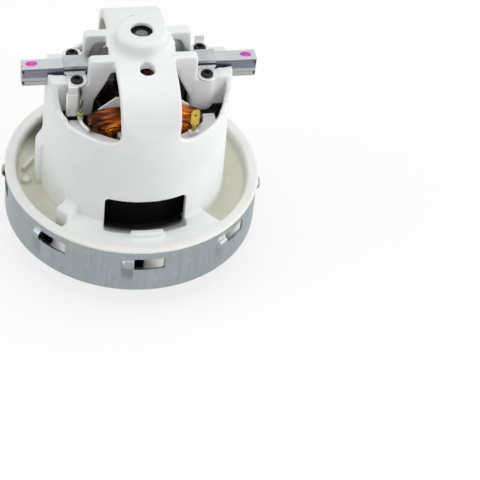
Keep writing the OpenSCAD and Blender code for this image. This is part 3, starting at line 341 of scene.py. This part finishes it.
# Plain finish: two tones and two roughnesses mixed by a grain, whose size and depth are in metres
def makePlain(name, a, b, grain, low, high, depth=0.0, stretch=(1, 1, 1), **sockets):
    m, add, place = startMaterial(name, **sockets)
    v = add("Mapping", {"Vector": place, "Scale": stretch})
    n = add("TexNoise", {"Vector": v, "Scale": 1 / grain, "Detail": 3})
    share = add("MapRange", {0: n, **noiseSpan}, **smooth)
    tone = add("Mix", {0: share, 6: a, 7: b}, **colours)
    rough = add("MapRange", {0: n, **noiseSpan, 3: low, 4: high})
    if depth:
        linkSockets(m, Normal=add("Bump", {"Height": n, "Distance": depth, "Strength": 0.6}))
    return linkSockets(m, Base_Color=tone, Roughness=rough)


# Crimp bead: white insulating tube, its upper end dipped in yellow-green lacquer
beadLook = {"tubeTones": ("#E8E8E6", "#D2D2CE"), "lacquerTones": ("#B9C24A", "#7F8A34"),
            "runs": {1: 0.3, 2: 0.7, 3: -0.0004, 4: 0.0004}, "dipped": {1: 0.0897, 2: 0.0902},
            "uneven": {1: 0.35, 2: 0.65}, "rough": 0.3, "coat": 0.3}


def makeBead(look):
    m, add, place = startMaterial("lacqueredBead", Roughness=look["rough"], Coat_Weight=look["coat"])
    z = add("SeparateXYZ", {0: place}, 2)
    n = add("TexNoise", {"Vector": place, "Scale": 900, "Detail": 2})  # 1.1 mm runs in the lacquer
    level = add("Math", {0: z, 1: add("MapRange", {0: n, **look["runs"]})}, **plus)
    dipped = add("MapRange", {0: level, **look["dipped"]}, **smooth)
    uneven = add("MapRange", {0: n, **look["uneven"]}, **smooth)
    lacquer = add("Mix", {0: uneven, 6: look["lacquerTones"][0], 7: look["lacquerTones"][1]}, **colours)
    tube = add("Mix", {0: uneven, 6: look["tubeTones"][0], 7: look["tubeTones"][1]}, **colours)
    return linkSockets(m, Base_Color=add("Mix", {0: dipped, 6: tube, 7: lacquer}, **colours))


makeCopper = partial(makeCopperWire, copperLook)
bareMetal = {"Metallic": 1.0}
upright = {"stretch": (1, 1, 0.25)}
finish = {
    "white": makeWhiteMoulding(whiteLook),
    "zinc": makeZincSheet(zincLook),
    "tube": makeTubeMetal(tubeLook),
    "strap": makeStrapMetal(strapLook),
    "bead": makeBead(beadLook),
    # Wound copper: glossy orange wires, a near-black body between them as painted shade in the gaps, and
    # red-brown enamel on the armature
    "copper": makeCopper("enamelledCopper", "#3C1403", "#B4560F", "#FF9A2E", 0.24, True),
    "copperBody": makeCopper("packedCopper", "#120703", "#241006", "#3A1A0A", 0.5, False),
    "redCopper": makeCopper("redEnamelCopper", "#160806", "#2E1310", "#5A2A22", 0.35, False),
    # Turned copper bars, browned and scored round by the brushes
    "bareCopper": makePlain("commutatorCopper", "#7E4438", "#2E1410", 0.0012, 0.28, 0.45, 0.0, (1, 1, 0.1),
                            **bareMetal),
    # Black nylon moulding, matt; the baffle behind the exhaust window painted darker and with little gloss,
    # as painted shade for the inside of the motor
    "black": makePlain("blackMoulding", "#0A0A0C", "#050506", 0.0008, 0.6, 0.75, 0.00001,
                       Specular_IOR_Level=0.2),
    "baffle": makePlain("mattBlackMoulding", "#060708", "#030304", 0.0014, 0.7, 0.85, 0.00001,
                        Specular_IOR_Level=0.1),
    # Blackened screw steel, with a low gloss
    "screw": makePlain("blackenedScrewSteel", "#1B1C20", "#0D0E10", 0.0009, 0.28, 0.45, 0.00001,
                       Metallic=0.6),
    # Moulded rubber, dull black
    "rubber": makePlain("blackRubber", "#141416", "#0B0B0D", 0.0007, 0.5, 0.7, 0.00001,
                        Specular_IOR_Level=0.25),
    # Turned and ground steel, bright on small pieces and greyer on the shaft
    "steel": makePlain("brightSteel", "#B9BCC2", "#8E9299", 0.0011, 0.22, 0.4, 0.00001,
                       **upright, **bareMetal),
    "shaft": makePlain("groundShaftSteel", "#83878B", "#5C6064", 0.0009, 0.3, 0.48, 0.00001,
                       **upright, **bareMetal),
    # Stacked laminations under dark varnish, with fine level lines
    "laminated": makePlain("varnishedLaminations", "#3B3C40", "#17181A", 0.0009, 0.4, 0.6, 0.00003,
                           (0.05, 0.05, 1), Metallic=0.7),
    # Slot paper, off-white and fibrous
    "paper": makePlain("slotPaper", "#EDEDEA", "#DFDFDA", 0.0009, 0.6, 0.8, 0.00002),
    # Stamped brass, pale yellow and lightly brushed
    "brass": makePlain("stampedBrass", "#D2BD5C", "#BCA548", 0.003, 0.26, 0.38, 0.00001, Metallic=0.85),
    # Pressed carbon, dull grey-black and grainy
    "carbon": makePlain("pressedCarbon", "#2A2A2D", "#161618", 0.0006, 0.55, 0.75, 0.00002),
    # Woven glass sleeve, white with a fine weave
    "sleeve": makePlain("glassSleeve", "#FAFAF8", "#EAEAE6", 0.0005, 0.5, 0.7, 0.00004, (1, 1, 0.4)),
    # Strands of the leads: tinned wire, and covers of green and dark lacquered cotton
    "leadBare": makePlain("tinnedLeadWire", "#B4B7B4", "#7E827C", 0.0006, 0.3, 0.45, Metallic=0.8),
    "leadGreen": makePlain("greenLeadCover", "#6E7A4E", "#3F4A30", 0.0006, 0.45, 0.6),
    "leadDark": makePlain("darkLeadCover", "#33332F", "#1C1C1A", 0.0006, 0.45, 0.6),
    # Pressed aluminium of the fan, satin, duller and painted darker on the blades as painted shade
    "fan": makePlain("pressedFanSheet", "#B4BABF", "#8F969C", 0.0014, 0.32, 0.48, 0.00002, **bareMetal),
    "blade": makePlain("shadedFanSheet", "#8E949A", "#666C72", 0.0014, 0.36, 0.5, 0.00002, **bareMetal),
    # Moulded brown resin under the commutator
    "resin": makePlain("mouldedResin", "#4A2A1C", "#2E190F", 0.0008, 0.4, 0.6),
}
madeOf = {"zinc": "fan_cover bearing_retainer",
          "white": "motor_bracket coil_former_front coil_former_back",
          "black": "guide_plate",
          "baffle": "baffle_front baffle_back",
          "laminated": "field_core armature_core",
          "paper": "slot_liners",
          "copperBody": "field_coil_front field_coil_back",
          "copper": "field_winding_front field_winding_back",
          "redCopper": "armature_winding",
          "bareCopper": "commutator",
          "resin": "commutator_hub",
          "brass": "field_tags",
          "tube": "brush_tube_left brush_tube_right",
          "strap": "brush_strap_left brush_strap_right",
          "screw": "strap_screws",
          "carbon": "carbon_brush_left carbon_brush_right",
          "sleeve": "lead_sleeve",
          "leadGreen": "brush_lead_left brush_lead_right",
          "bead": "lead_beads",
          "rubber": "bearing_boot bearing_top_seal",
          "shaft": "shaft bearing_top_inner",
          "steel": "field_screws brush_spring_left brush_spring_right bearing_top_outer ball_set_top "
                   "bearing_low_outer bearing_low_inner ball_set_low retainer_screws preload_washer "
                   "fan_spacer fan_washer_inner fan_washer_outer fan_nut",
          "fan": "fan_back_plate fan_front_plate",
          "blade": "fan_blades"}
finishOf = {node: look for look, names in madeOf.items() for node in names.split()}
for name, node in nodes.items():
    node.data.materials.clear()
    node.data.materials.append(finish[finishOf[name]])
print("materials:", len(finish))


# Meshes
def newObject(name, mesh, looks, body, replaced):
    o = bpy.data.objects.new(name, mesh)
    bpy.context.scene.collection.objects.link(o)
    mesh.materials.clear()
    for look in looks:
        mesh.materials.append(finish[look])
    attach(o, body)
    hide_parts(*replaced)
    return o


def meshFrom(name, points, faces, soft=True):
    mesh = bpy.data.meshes.new(name)
    mesh.from_pydata(points.reshape(-1, 3).tolist(), [], [list(f) for f in faces])
    mesh.polygons.foreach_set("use_smooth", np.full(len(mesh.polygons), soft))
    mesh.update()
    return mesh


# Quads of a grid with rows by columns points, closed round the columns, and round the rows if asked
def gridFaces(rows, columns, closedRows, start=0):
    r, c = np.meshgrid(np.arange(rows if closedRows else rows - 1), np.arange(columns), indexing="ij")
    r2, c2 = (r + 1) % rows, (c + 1) % columns
    q = np.stack([r * columns + c, r * columns + c2, r2 * columns + c2, r2 * columns + c], -1)
    return q.reshape(-1, 4) + start


# Round wires: each path's points plus a circle in the plane square to the path, for all wires at once
def wires(paths, radius, sides, axis, closed):
    k, n, _ = paths.shape
    if closed:
        along = np.roll(paths, -1, 1) - np.roll(paths, 1, 1)
    else:
        along = np.gradient(paths, axis=1)
    along /= np.linalg.norm(along, axis=2, keepdims=True)
    v = np.cross(along, np.asarray(axis, float))
    v /= np.linalg.norm(v, axis=2, keepdims=True)
    u = np.cross(v, along)
    a = np.arange(sides)[:, None] * 2 * np.pi / sides
    points = paths[:, :, None] + radius * (np.cos(a) * u[:, :, None] + np.sin(a) * v[:, :, None])
    faces = [f for i in range(k) for f in gridFaces(n, sides, closed, i * n * sides)]
    if not closed:
        for i in range(k):
            first = i * n * sides
            faces.append(np.arange(sides)[::-1] + first)
            faces.append(np.arange(sides) + first + (n - 1) * sides)
    return points, faces


# Smooth curve through points, Catmull-Rom: each span is a cubic set by its two ends and their neighbours
def smoothCurve(points, count, closed):
    n = points.shape[-2]
    s = np.arange(count) * n / count if closed else np.linspace(0, n - 1, count)
    k = np.floor(s).astype(int)
    if not closed:
        k = np.minimum(k, n - 2)
    f = (s - k)[:, None]
    near = [k + i for i in (-1, 0, 1, 2)]
    a, b, c, d = (points[..., i % n if closed else np.clip(i, 0, n - 1), :] for i in near)
    return b + 0.5 * f * (c - a + f * (2 * a - 5 * b + 4 * c - d + f * (3 * (b - c) + d - a)))


# CAD meshes: loose triangles merged, flat faces joined, edges eased by a bevel; distances in metres,
# angles in degrees
easeLook = {"merge": 2e-6, "flat": 0.6, "sharp": 32, "segments": 2}


def mergedMesh(node, look, flat):
    mesh = nodes[node].data.copy()
    bm = bmesh.new()
    bm.from_mesh(mesh)
    bmesh.ops.remove_doubles(bm, verts=bm.verts, dist=look["merge"])
    if flat:
        bmesh.ops.dissolve_limit(bm, angle_limit=math.radians(flat), verts=bm.verts, edges=bm.edges)
    bm.to_mesh(mesh)
    bm.free()
    return mesh


# Copy of a CAD node, smooth where it curves
def easedCopy(node, name, bevel, look):
    mesh = mergedMesh(node, look, look["flat"])
    sharp = math.radians(look["sharp"])
    mesh.polygons.foreach_set("use_smooth", np.ones(len(mesh.polygons), bool))
    mesh.set_sharp_from_angle(angle=sharp)
    o = newObject(name, mesh, [finishOf[node]], bodyOf[node], [node])
    if bevel:
        b = o.modifiers.new("easedEdges", "BEVEL")
        b.width, b.segments, b.limit_method, b.angle_limit = bevel, look["segments"], "ANGLE", sharp
        b.use_clamp_overlap, b.harden_normals = True, True


# Moulded bracket: the solid filled with fine voxels, smoothed so that every edge has a moulder's radius,
# then thinned
bracketLook = {"voxel": 0.00055, "quickVoxel": 0.0011, "rounds": 11, "pull": 0.5, "triangles": 185000}


def makeBracket(look):
    o = bpy.data.objects.new("bracketWork", mergedMesh("motor_bracket", easeLook, None))
    bpy.context.scene.collection.objects.link(o)
    fill = o.modifiers.new("fill", "REMESH")
    fill.mode, fill.use_smooth_shade = "VOXEL", True
    fill.voxel_size = look["voxel"]
    ease = o.modifiers.new("ease", "SMOOTH")
    ease.factor, ease.iterations = look["pull"], look["rounds"]
    full = bpy.data.meshes.new_from_object(o.evaluated_get(bpy.context.evaluated_depsgraph_get()))
    thin = o.modifiers.new("thin", "DECIMATE")
    thin.ratio = min(1.0, look["triangles"] / (2 * len(full.polygons)))
    done = bpy.data.meshes.new_from_object(o.evaluated_get(bpy.context.evaluated_depsgraph_get()))
    bpy.data.objects.remove(o)
    done.polygons.foreach_set("use_smooth", np.ones(len(done.polygons), bool))
    print("bracket:", len(full.polygons), "quads, thinned to", len(done.polygons))
    newObject("bracketMoulding", done, ["white"], "housing", ["motor_bracket"])


makeBracket(bracketLook)
halfTurn = [-1, -1, 1]  # turns points half round the shaft

# Field coils: dark body with single wires laid over it, each wandering a little as wound by machine.
# Outlines are quarter loops in millimetres; waves are how often round the loop, and how strong.
coilLook = {"y0": 20.8, "y1": 28.4, "middle": 69.25, "points": 132, "seed": 7,
            "outerX": [22, 22, 25.5, 28, 26, 18, 0], "outerZ": [0, 14.25, 18.05, 21.15, 23.75, 26.15, 26.75],
            "underX": [22, 22, 22, 21.4, 19, 12, 0], "underZ": [0, 14.25, 19.75, 23.25, 25.75, 26.95, 27.25],
            "innerX": [14.2, 14.2, 14.2, 13.4, 11, 7, 0],
            "innerZ": [0, 14.25, 16.05, 16.75, 16.75, 16.75, 16.75],
            "profile": [(0.06, 0.9), (0.06, 3.8), (0.06, 6.6), (0.12, 7.1), (0.5, 7.15),
                        (0.9, 7.1), (0.98, 6.6), (0.98, 0.9), (0.5, 0.5), (0.12, 0.5)],
            "wire": 0.38, "wireSides": 6, "margin": 0.4, "insetLimit": (0.02, 0.98),
            "sideWires": 11, "sideInset": 0.02, "sideRun": (0.4, 7.0),
            "faceWires": 17, "faceInset": (0.03, 0.96), "faceBack": 0.9,
            "crossWires": 15, "crossInset": (0.08, 0.92), "crossBack": 0.42,
            "wander": (0.004, 0.02, 0.064), "rise": 0.14, "sideWander": 0.25,
            "waves": {f: 1 / (f + 0.5) for f in (1, 2, 3, 5, 8)}, "lifts": dict.fromkeys((2, 4, 7), 0.5),
            # Painted glints, a painted highlight band and end patch, and painted shade towards the sides of
            # the loop
            "tone": 0.22, "ownTone": 0.09, "glints": dict.fromkeys((13, 21, 34), 0.13),
            "bandTone": 0.75, "bandWidth": 0.26, "bandStart": 0.42, "bandSlope": 0.062, "bandSide": (7, 14),
            "fade": 0.03, "fadeFrom": (20, 10), "endTone": 0.38, "endAt": 19, "endWidth": 4.5}


# Closed loop of 24 points, drawn from quarter outlines of the upper and lower halves
def coilLoop(upperX, upperZ, lowerX, lowerZ):
    j = np.r_[0:6, 6:0:-1, 0:6, 6:0:-1]
    q = np.repeat([0, 1, 2, 3], 6)
    sx = np.where((q == 0) | (q == 3), 1, -1)
    up = q < 2
    return np.stack([sx * np.where(up, np.array(upperX, float)[j], np.array(lowerX, float)[j]),
                     np.where(up, np.array(upperZ, float)[j], -np.array(lowerZ, float)[j])], -1)


# Sum of sine waves round the loop, with a strength and a start of its own for each wire
def ringWaves(rng, count, ring, waves):
    return sum(rng.normal(0, s, (count, 1)) * np.sin(f * ring + rng.uniform(0, 6.3, (count, 1)))
               for f, s in waves.items())


def makeCoil(name, look, turn, replaced):
    rng = np.random.default_rng(look["seed"] + turn)
    n, y0, y1 = look["points"], look["y0"], look["y1"]
    outer = smoothCurve(coilLoop(look["outerX"], look["outerZ"], look["underX"], look["underZ"]), n, True)
    inner = smoothCurve(coilLoop(look["innerX"], look["innerZ"], look["innerX"], look["innerZ"]), n, True)
    ring = np.arange(n) * 2 * np.pi / n

    def loops(u, y):  # one loop for each inset u and distance y, both given all round the loop
        flat = outer + (inner - outer) * u[..., None]
        return np.stack([flat[..., 0], -y, flat[..., 1] + look["middle"]], -1) * mm

    # Body: a rounded oblong profile in inset and distance, carried round the loop
    profile = np.array(look["profile"])
    body = loops(np.repeat(profile[:, :1], n, 1), y0 + np.repeat(profile[:, 1:], n, 1))
    bodyFaces = gridFaces(len(profile), n, True)
    # Wires: over the outer side, over the face, then a few that cross the rest, all wandering in slow waves
    counts = [look[k] for k in ("sideWires", "faceWires", "crossWires")]
    side, face, cross = counts
    inset = np.r_[np.full(side, look["sideInset"]), np.linspace(*look["faceInset"], face),
                  np.linspace(*look["crossInset"], cross)][:, None]
    laid = np.r_[y0 + np.linspace(*look["sideRun"], side), np.full(face, y1 - look["faceBack"]),
                 np.full(cross, y1 - look["crossBack"])][:, None]
    kind = np.repeat([0, 1, 2], counts)[:, None]
    k = len(laid)
    wave = ringWaves(rng, k, ring, look["waves"])
    lift = ringWaves(rng, k, ring, look["lifts"])
    u = np.clip(inset + wave * np.choose(kind, look["wander"]), *look["insetLimit"])
    y = laid + look["rise"] * lift * (kind > 0) + look["sideWander"] * wave * (kind == 0)
    paths = loops(u, np.clip(y, y0 + look["margin"], y1 - look["margin"]))
    points, faces = wires(paths, look["wire"] * mm, look["wireSides"], (0, 1, 0), True)
    # Tone of the enamel: each wire a little its own, with painted glints in short dashes, a painted highlight
    # in a slanting band across the lay and at one end, and painted shade towards both sides of the loop
    tone = look["tone"] + rng.normal(0, look["ownTone"], (k, 1)) + ringWaves(rng, k, ring, look["glints"])
    x = paths[..., 0] / mm
    level, run = look["bandSide"]
    lay = np.where(kind == 0, (laid - y0 - level) / run, u)
    lay = lay + look["bandStart"] - look["bandSlope"] * np.abs(x)
    start, most = look["fadeFrom"]
    tone = tone + look["bandTone"] * np.exp(-(lay / look["bandWidth"]) ** 2)
    tone = tone - look["fade"] * np.clip(np.abs(x) - start, 0, most)
    tone = tone + look["endTone"] * np.exp(-((x - look["endAt"]) / look["endWidth"]) ** 2)
    allPoints = np.concatenate([body.reshape(-1, 3), points.reshape(-1, 3)])
    if turn:
        allPoints = allPoints * halfTurn
    mesh = meshFrom(name, allPoints, [*bodyFaces, *[f + len(profile) * n for f in faces]])
    newObject(name, mesh, ["copperBody", "copper"], "housing", replaced)
    which = np.repeat([0, 1], [len(bodyFaces), len(faces)]).astype(np.int32)
    mesh.polygons.foreach_set("material_index", which)
    shade = mesh.attributes.new("wireTone", "FLOAT", "POINT")
    tone = np.repeat(np.clip(tone, 0, 1).ravel(), look["wireSides"])
    shade.data.foreach_set("value", np.r_[np.zeros(body.size // 3), tone].astype(np.float32))


makeCoil("woundCoilFront", coilLook, 0, ["field_coil_front", "field_winding_front"])
makeCoil("woundCoilBack", coilLook, 1, ["field_coil_back", "field_winding_back"])
print("coils wound")

# Armature: a body turned from the outline of the end turns, with single wires laid over it from slot
# to slot. Outlines are radius and height in millimetres.
armatureLook = {"slots": 12, "reach": 5, "wiresPerCoil": 9, "wire": 0.4, "wireSides": 5, "seed": 3,
                "top": [(18.4, 84.1), (18.7, 86.5), (17.5, 90.5), (15.0, 94.3), (6.0, 94.3)],
                "bottom": [(18.4, 54.4), (18.7, 52.0), (17.5, 47.0), (15.0, 44.0), (6.0, 44.0)],
                "hole": 6.0, "around": 72, "steps": 34, "drawnIn": (1.3, 1.2), "lieIn": 1.02,
                "peak": (0.5, 0.42), "peakSpread": 0.02, "angleSpread": 0.03, "swell": 0.65, "overrun": 1.12,
                "bar": [(15.8, -0.7), (19.4, -0.7), (19.4, 0.7), (15.8, 0.7)],
                "barLevels": [52.9, 53.4, 85.2, 85.7]}


def makeArmatureWinding(look):
    rng = np.random.default_rng(look["seed"])
    wire, around, slots = look["wire"], look["around"], look["slots"]
    s, w = np.meshgrid(np.arange(slots), np.arange(look["wiresPerCoil"]), indexing="ij")
    s, w = s.ravel()[:, None], w.ravel()[:, None]
    t = np.linspace(0, 1, look["steps"])[None]
    step = 2 * np.pi / slots
    low, more = look["peak"]
    peak = low + more * w / look["wiresPerCoil"] + rng.normal(0, look["peakSpread"], s.shape)
    angle = step * (s + look["reach"] * t) + rng.normal(0, look["angleSpread"], s.shape)
    turn = np.linspace(0, 2 * np.pi, around, endpoint=False)
    allPoints, allFaces, count = [], [], 0
    for outline in (look["top"], look["bottom"]):
        line = np.array(outline, float)
        far = np.r_[0, np.cumsum(np.hypot(*np.diff(line, axis=0).T))]
        up = np.sign(line[-1, 1] - line[0, 1])
        # Body: the outline drawn in by a wire, turned round the shaft
        inner = line - np.array(look["drawnIn"]) * [wire, up * wire]
        foot = line[0, 1]
        inner = np.concatenate([[(look["hole"], foot), (inner[0, 0], foot)], inner[1:]])
        r, z = inner[:, :1], inner[:, 1:]
        body = np.stack([r * np.cos(turn), r * np.sin(turn), np.repeat(z, around, 1)], -1)
        allFaces += list(gridFaces(len(inner), around, True, count))
        allPoints.append(body.reshape(-1, 3))
        count += body.size // 3
        # Wires: up the outline and down again while they cross to the far slot
        run = peak * np.sin(np.pi * t) ** look["swell"] * far[3] * look["overrun"]
        r = np.interp(run, far, line[:, 0]) - wire * look["lieIn"]
        z = np.interp(run, far, line[:, 1]) - up * wire * look["lieIn"]
        paths = np.stack([r * np.cos(angle), r * np.sin(angle), z], -1)
        points, faces = wires(paths, wire, look["wireSides"], (0, 0, 1), False)
        allFaces += [f + count for f in faces]
        allPoints.append(points.reshape(-1, 3))
        count += points.size // 3
    # Slot sides: oblong bundles standing in the slots
    a = np.arange(slots)[:, None] * step
    r, off = np.array(look["bar"]).T
    x, y = r * np.cos(a) - off * np.sin(a), r * np.sin(a) + off * np.cos(a)
    levels = np.array(look["barLevels"])
    bars = np.stack(np.broadcast_arrays(x[:, None], y[:, None], levels[None, :, None]), -1)
    corners, rings = len(r), len(levels)
    end = np.arange(corners)
    for i in range(slots):
        first = count + i * corners * rings
        allFaces += [*gridFaces(rings, corners, False, first), end[::-1] + first]
        allFaces.append(end + first + corners * (rings - 1))
    allPoints.append(bars.reshape(-1, 3))
    mesh = meshFrom("armatureEndTurns", np.concatenate(allPoints) * mm, allFaces)
    newObject("armatureEndTurns", mesh, ["redCopper"], "rotor", ["armature_winding"])


makeArmatureWinding(armatureLook)

# Brush leads: a bare and two covered strands from the strap to the bead, each the route plus an offset that
# turns round it, in millimetres
leadLook = {"route": [(-31.0, -14.7, 103.7), (-30.4, -15.8, 100.1), (-30.5, -17.8, 96.1),
                      (-30.8, -18.8, 93.1), (-30.8, -18.8, 92.1)],
            "strand": 0.36, "apart": 0.39, "twists": 2.6, "starts": (0, 2.1, 4.2), "points": 60, "sides": 8}


def makeLead(name, look, turn, replaced):
    n, sides = look["points"], look["sides"]
    path = smoothCurve(np.array(look["route"], float), n, False)
    along = np.gradient(path, axis=0)
    along /= np.linalg.norm(along, axis=1, keepdims=True)
    side = np.cross(along, (1.0, 0, 0))
    side /= np.linalg.norm(side, axis=1, keepdims=True)
    over = np.cross(along, side)
    a = np.linspace(0, 2 * np.pi * look["twists"], n)[:, None] + np.array(look["starts"])[:, None, None]
    strands = path + look["apart"] * (np.cos(a) * side + np.sin(a) * over)
    if turn:
        strands = strands * halfTurn
    points, faces = wires(strands * mm, look["strand"] * mm, sides, (1, 0, 0), False)
    mesh = meshFrom(name, points, faces)
    newObject(name, mesh, ["leadBare", "leadGreen", "leadDark"], "housing", replaced)
    mesh.polygons.foreach_set("material_index", np.array([min(f) // (n * sides) for f in faces], np.int32))


makeLead("twistedLeadLeft", leadLook, 0, ["brush_lead_left"])
makeLead("twistedLeadRight", leadLook, 1, ["brush_lead_right"])

# Insulating tubes: a round path from each bead along the bobbin's plate to the start of its winding
startLook = {"route": [(-30.8, -18.8, 87.9), (-30.6, -20.6, 86.9), (-29.6, -23.2, 86.75),
                       (-27.3, -26.9, 86.75)],
             "radius": 1.0, "points": 24, "sides": 12}


def makeStart(name, look, turn):
    path = smoothCurve(np.array(look["route"], float), look["points"], False)
    if turn:
        path = path * halfTurn
    points, faces = wires(path[None] * mm, look["radius"] * mm, look["sides"], (0, 0, 1), False)
    newObject(name, meshFrom(name, points, faces), ["sleeve"], "housing", [])


makeStart("windingStartFront", startLook, 0)
makeStart("windingStartBack", startLook, 1)

# Brush springs: helix, in millimetres
springLook = {"from": 41.05, "to": 56.8, "radius": 2.3, "wire": 0.28, "turns": 8, "height": 102.9,
              "keep": 0.68, "perTurn": 40, "sides": 8}


def makeSpring(name, look, side, replaced):
    t = np.linspace(0, 1, look["perTurn"] * look["turns"])
    a = 2 * np.pi * look["turns"] * t
    x = look["from"] + (look["to"] - look["from"]) * t
    path = np.stack([x, look["radius"] * np.cos(a), look["height"] + look["radius"] * np.sin(a)], -1)
    path = path * [side, side, 1] * mm
    points, faces = wires(path[None], look["wire"] * mm, look["sides"], (1, 0, 0), False)
    o = newObject(name, meshFrom(name, points, faces), ["steel"], "housing", replaced)
    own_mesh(o)


makeSpring("brushSpringLeft", springLook, -1, ["brush_spring_left"])
makeSpring("brushSpringRight", springLook, 1, ["brush_spring_right"])

# Metal and small pieces with eased edges, millimetres of bevel
easedLook = {"fan_cover": 0, "brush_tube_left": 0.45, "brush_tube_right": 0.45, "brush_strap_left": 0.3,
             "brush_strap_right": 0.3, "strap_screws": 0.15, "field_tags": 0.12, "lead_sleeve": 0.5,
             "lead_beads": 0.5, "fan_nut": 0.3, "fan_washer_outer": 0.2, "coil_former_front": 0.2,
             "coil_former_back": 0.2, "bearing_boot": 0.3, "shaft": 0.2, "commutator": 0.1,
             "fan_front_plate": 0, "fan_back_plate": 0, "fan_blades": 0, "carbon_brush_left": 0.2,
             "carbon_brush_right": 0.2, "bearing_top_inner": 0.2, "bearing_top_outer": 0.2,
             "bearing_top_seal": 0.05, "baffle_front": 0, "baffle_back": 0}
for node, bevel in easedLook.items():
    words = node.split("_")
    name = words[0] + "".join(w.capitalize() for w in words[1:]) + "Piece"
    easedCopy(node, name, bevel * mm, easeLook)
print("eased pieces:", len(easedLook))


# One where a ray comes from the camera or by reflection or glass, which see the white background
def seenRays(add):
    ray = add("LightPath", out=None)
    seen = add("Math", {0: ray["Is Camera Ray"], 1: ray["Is Glossy Ray"]}, operation="MAXIMUM")
    return add("Math", {0: seen, 1: ray["Is Transmission Ray"]}, operation="MAXIMUM")


# Floor: pale matt table that is mostly white to the camera and keeps the shadow
floorLook = {"colour": "#F4F4F3", "white": 0.75, "half": 6.0}


def makeFloor(look):
    corners = np.array([(-1, -1, 0), (1, -1, 0), (1, 1, 0), (-1, 1, 0)]) * look["half"]
    mesh = meshFrom("floor", corners, [(0, 1, 2, 3)], False)
    o = bpy.data.objects.new("floor", mesh)
    bpy.context.scene.collection.objects.link(o)
    m = bpy.data.materials.new("paleTable")
    m.use_nodes = True
    m.node_tree.nodes.clear()
    add = partial(addNode, m.node_tree)
    share = add("Math", {0: seenRays(add), 1: look["white"]}, **times)
    dull = add("BsdfDiffuse", {"Color": look["colour"]})
    glow = add("Emission", {"Strength": 1.0})
    add("OutputMaterial", {"Surface": add("MixShader", {0: share, 1: dull, 2: glow})}, None)
    mesh.materials.append(m)


# Light: soft lamps above, front right, right and left, with a weak sky that is white to the camera
lampLook = {"top": {"at": (0.1, 0.1, 1.3), "size": 1.2, "power": 7.2},
            "right": {"at": (1.0, -0.78, 0.42), "size": 0.7, "power": 6.2},
            "side": {"at": (1.3, 0.2, 0.5), "size": 0.8, "power": 4.2},
            "left": {"at": (-1.2, -0.05, 0.7), "size": 0.9, "power": 5.4}}
lightLook = {"aim": (0, 0, 0.06), "sky": {1: -0.05, 2: 0.7, 3: 0.22, 4: 0.45}, "white": 1.0}


def makeLight(lamps, light):
    for name, look in lamps.items():
        lamp = bpy.data.lights.new(name, "AREA")
        lamp.size, lamp.energy = look["size"], look["power"]
        o = bpy.data.objects.new(name, lamp)
        bpy.context.scene.collection.objects.link(o)
        o.location = look["at"]
        o.rotation_euler = (Vector(light["aim"]) - o.location).to_track_quat("-Z", "Y").to_euler()
    world = bpy.data.worlds.new("studio")
    bpy.context.scene.world = world
    world.use_nodes = True
    add = partial(addNode, world.node_tree)
    height = add("SeparateXYZ", {0: add("TexCoord", out="Generated")}, 2)
    shade = add("MapRange", {0: height, **light["sky"]}, **smooth)
    level = add("Mix", {0: seenRays(add), 2: shade, 3: light["white"]}, data_type="FLOAT")
    background = world.node_tree.nodes["Background"]
    world.node_tree.links.new(level, background.inputs["Strength"])
    background.inputs["Color"].default_value = (1, 1, 1, 1)


makeFloor(floorLook)
makeLight(lampLook, lightLook)
bpy.context.scene.view_settings.view_transform = "Standard"
print("stage and light set")
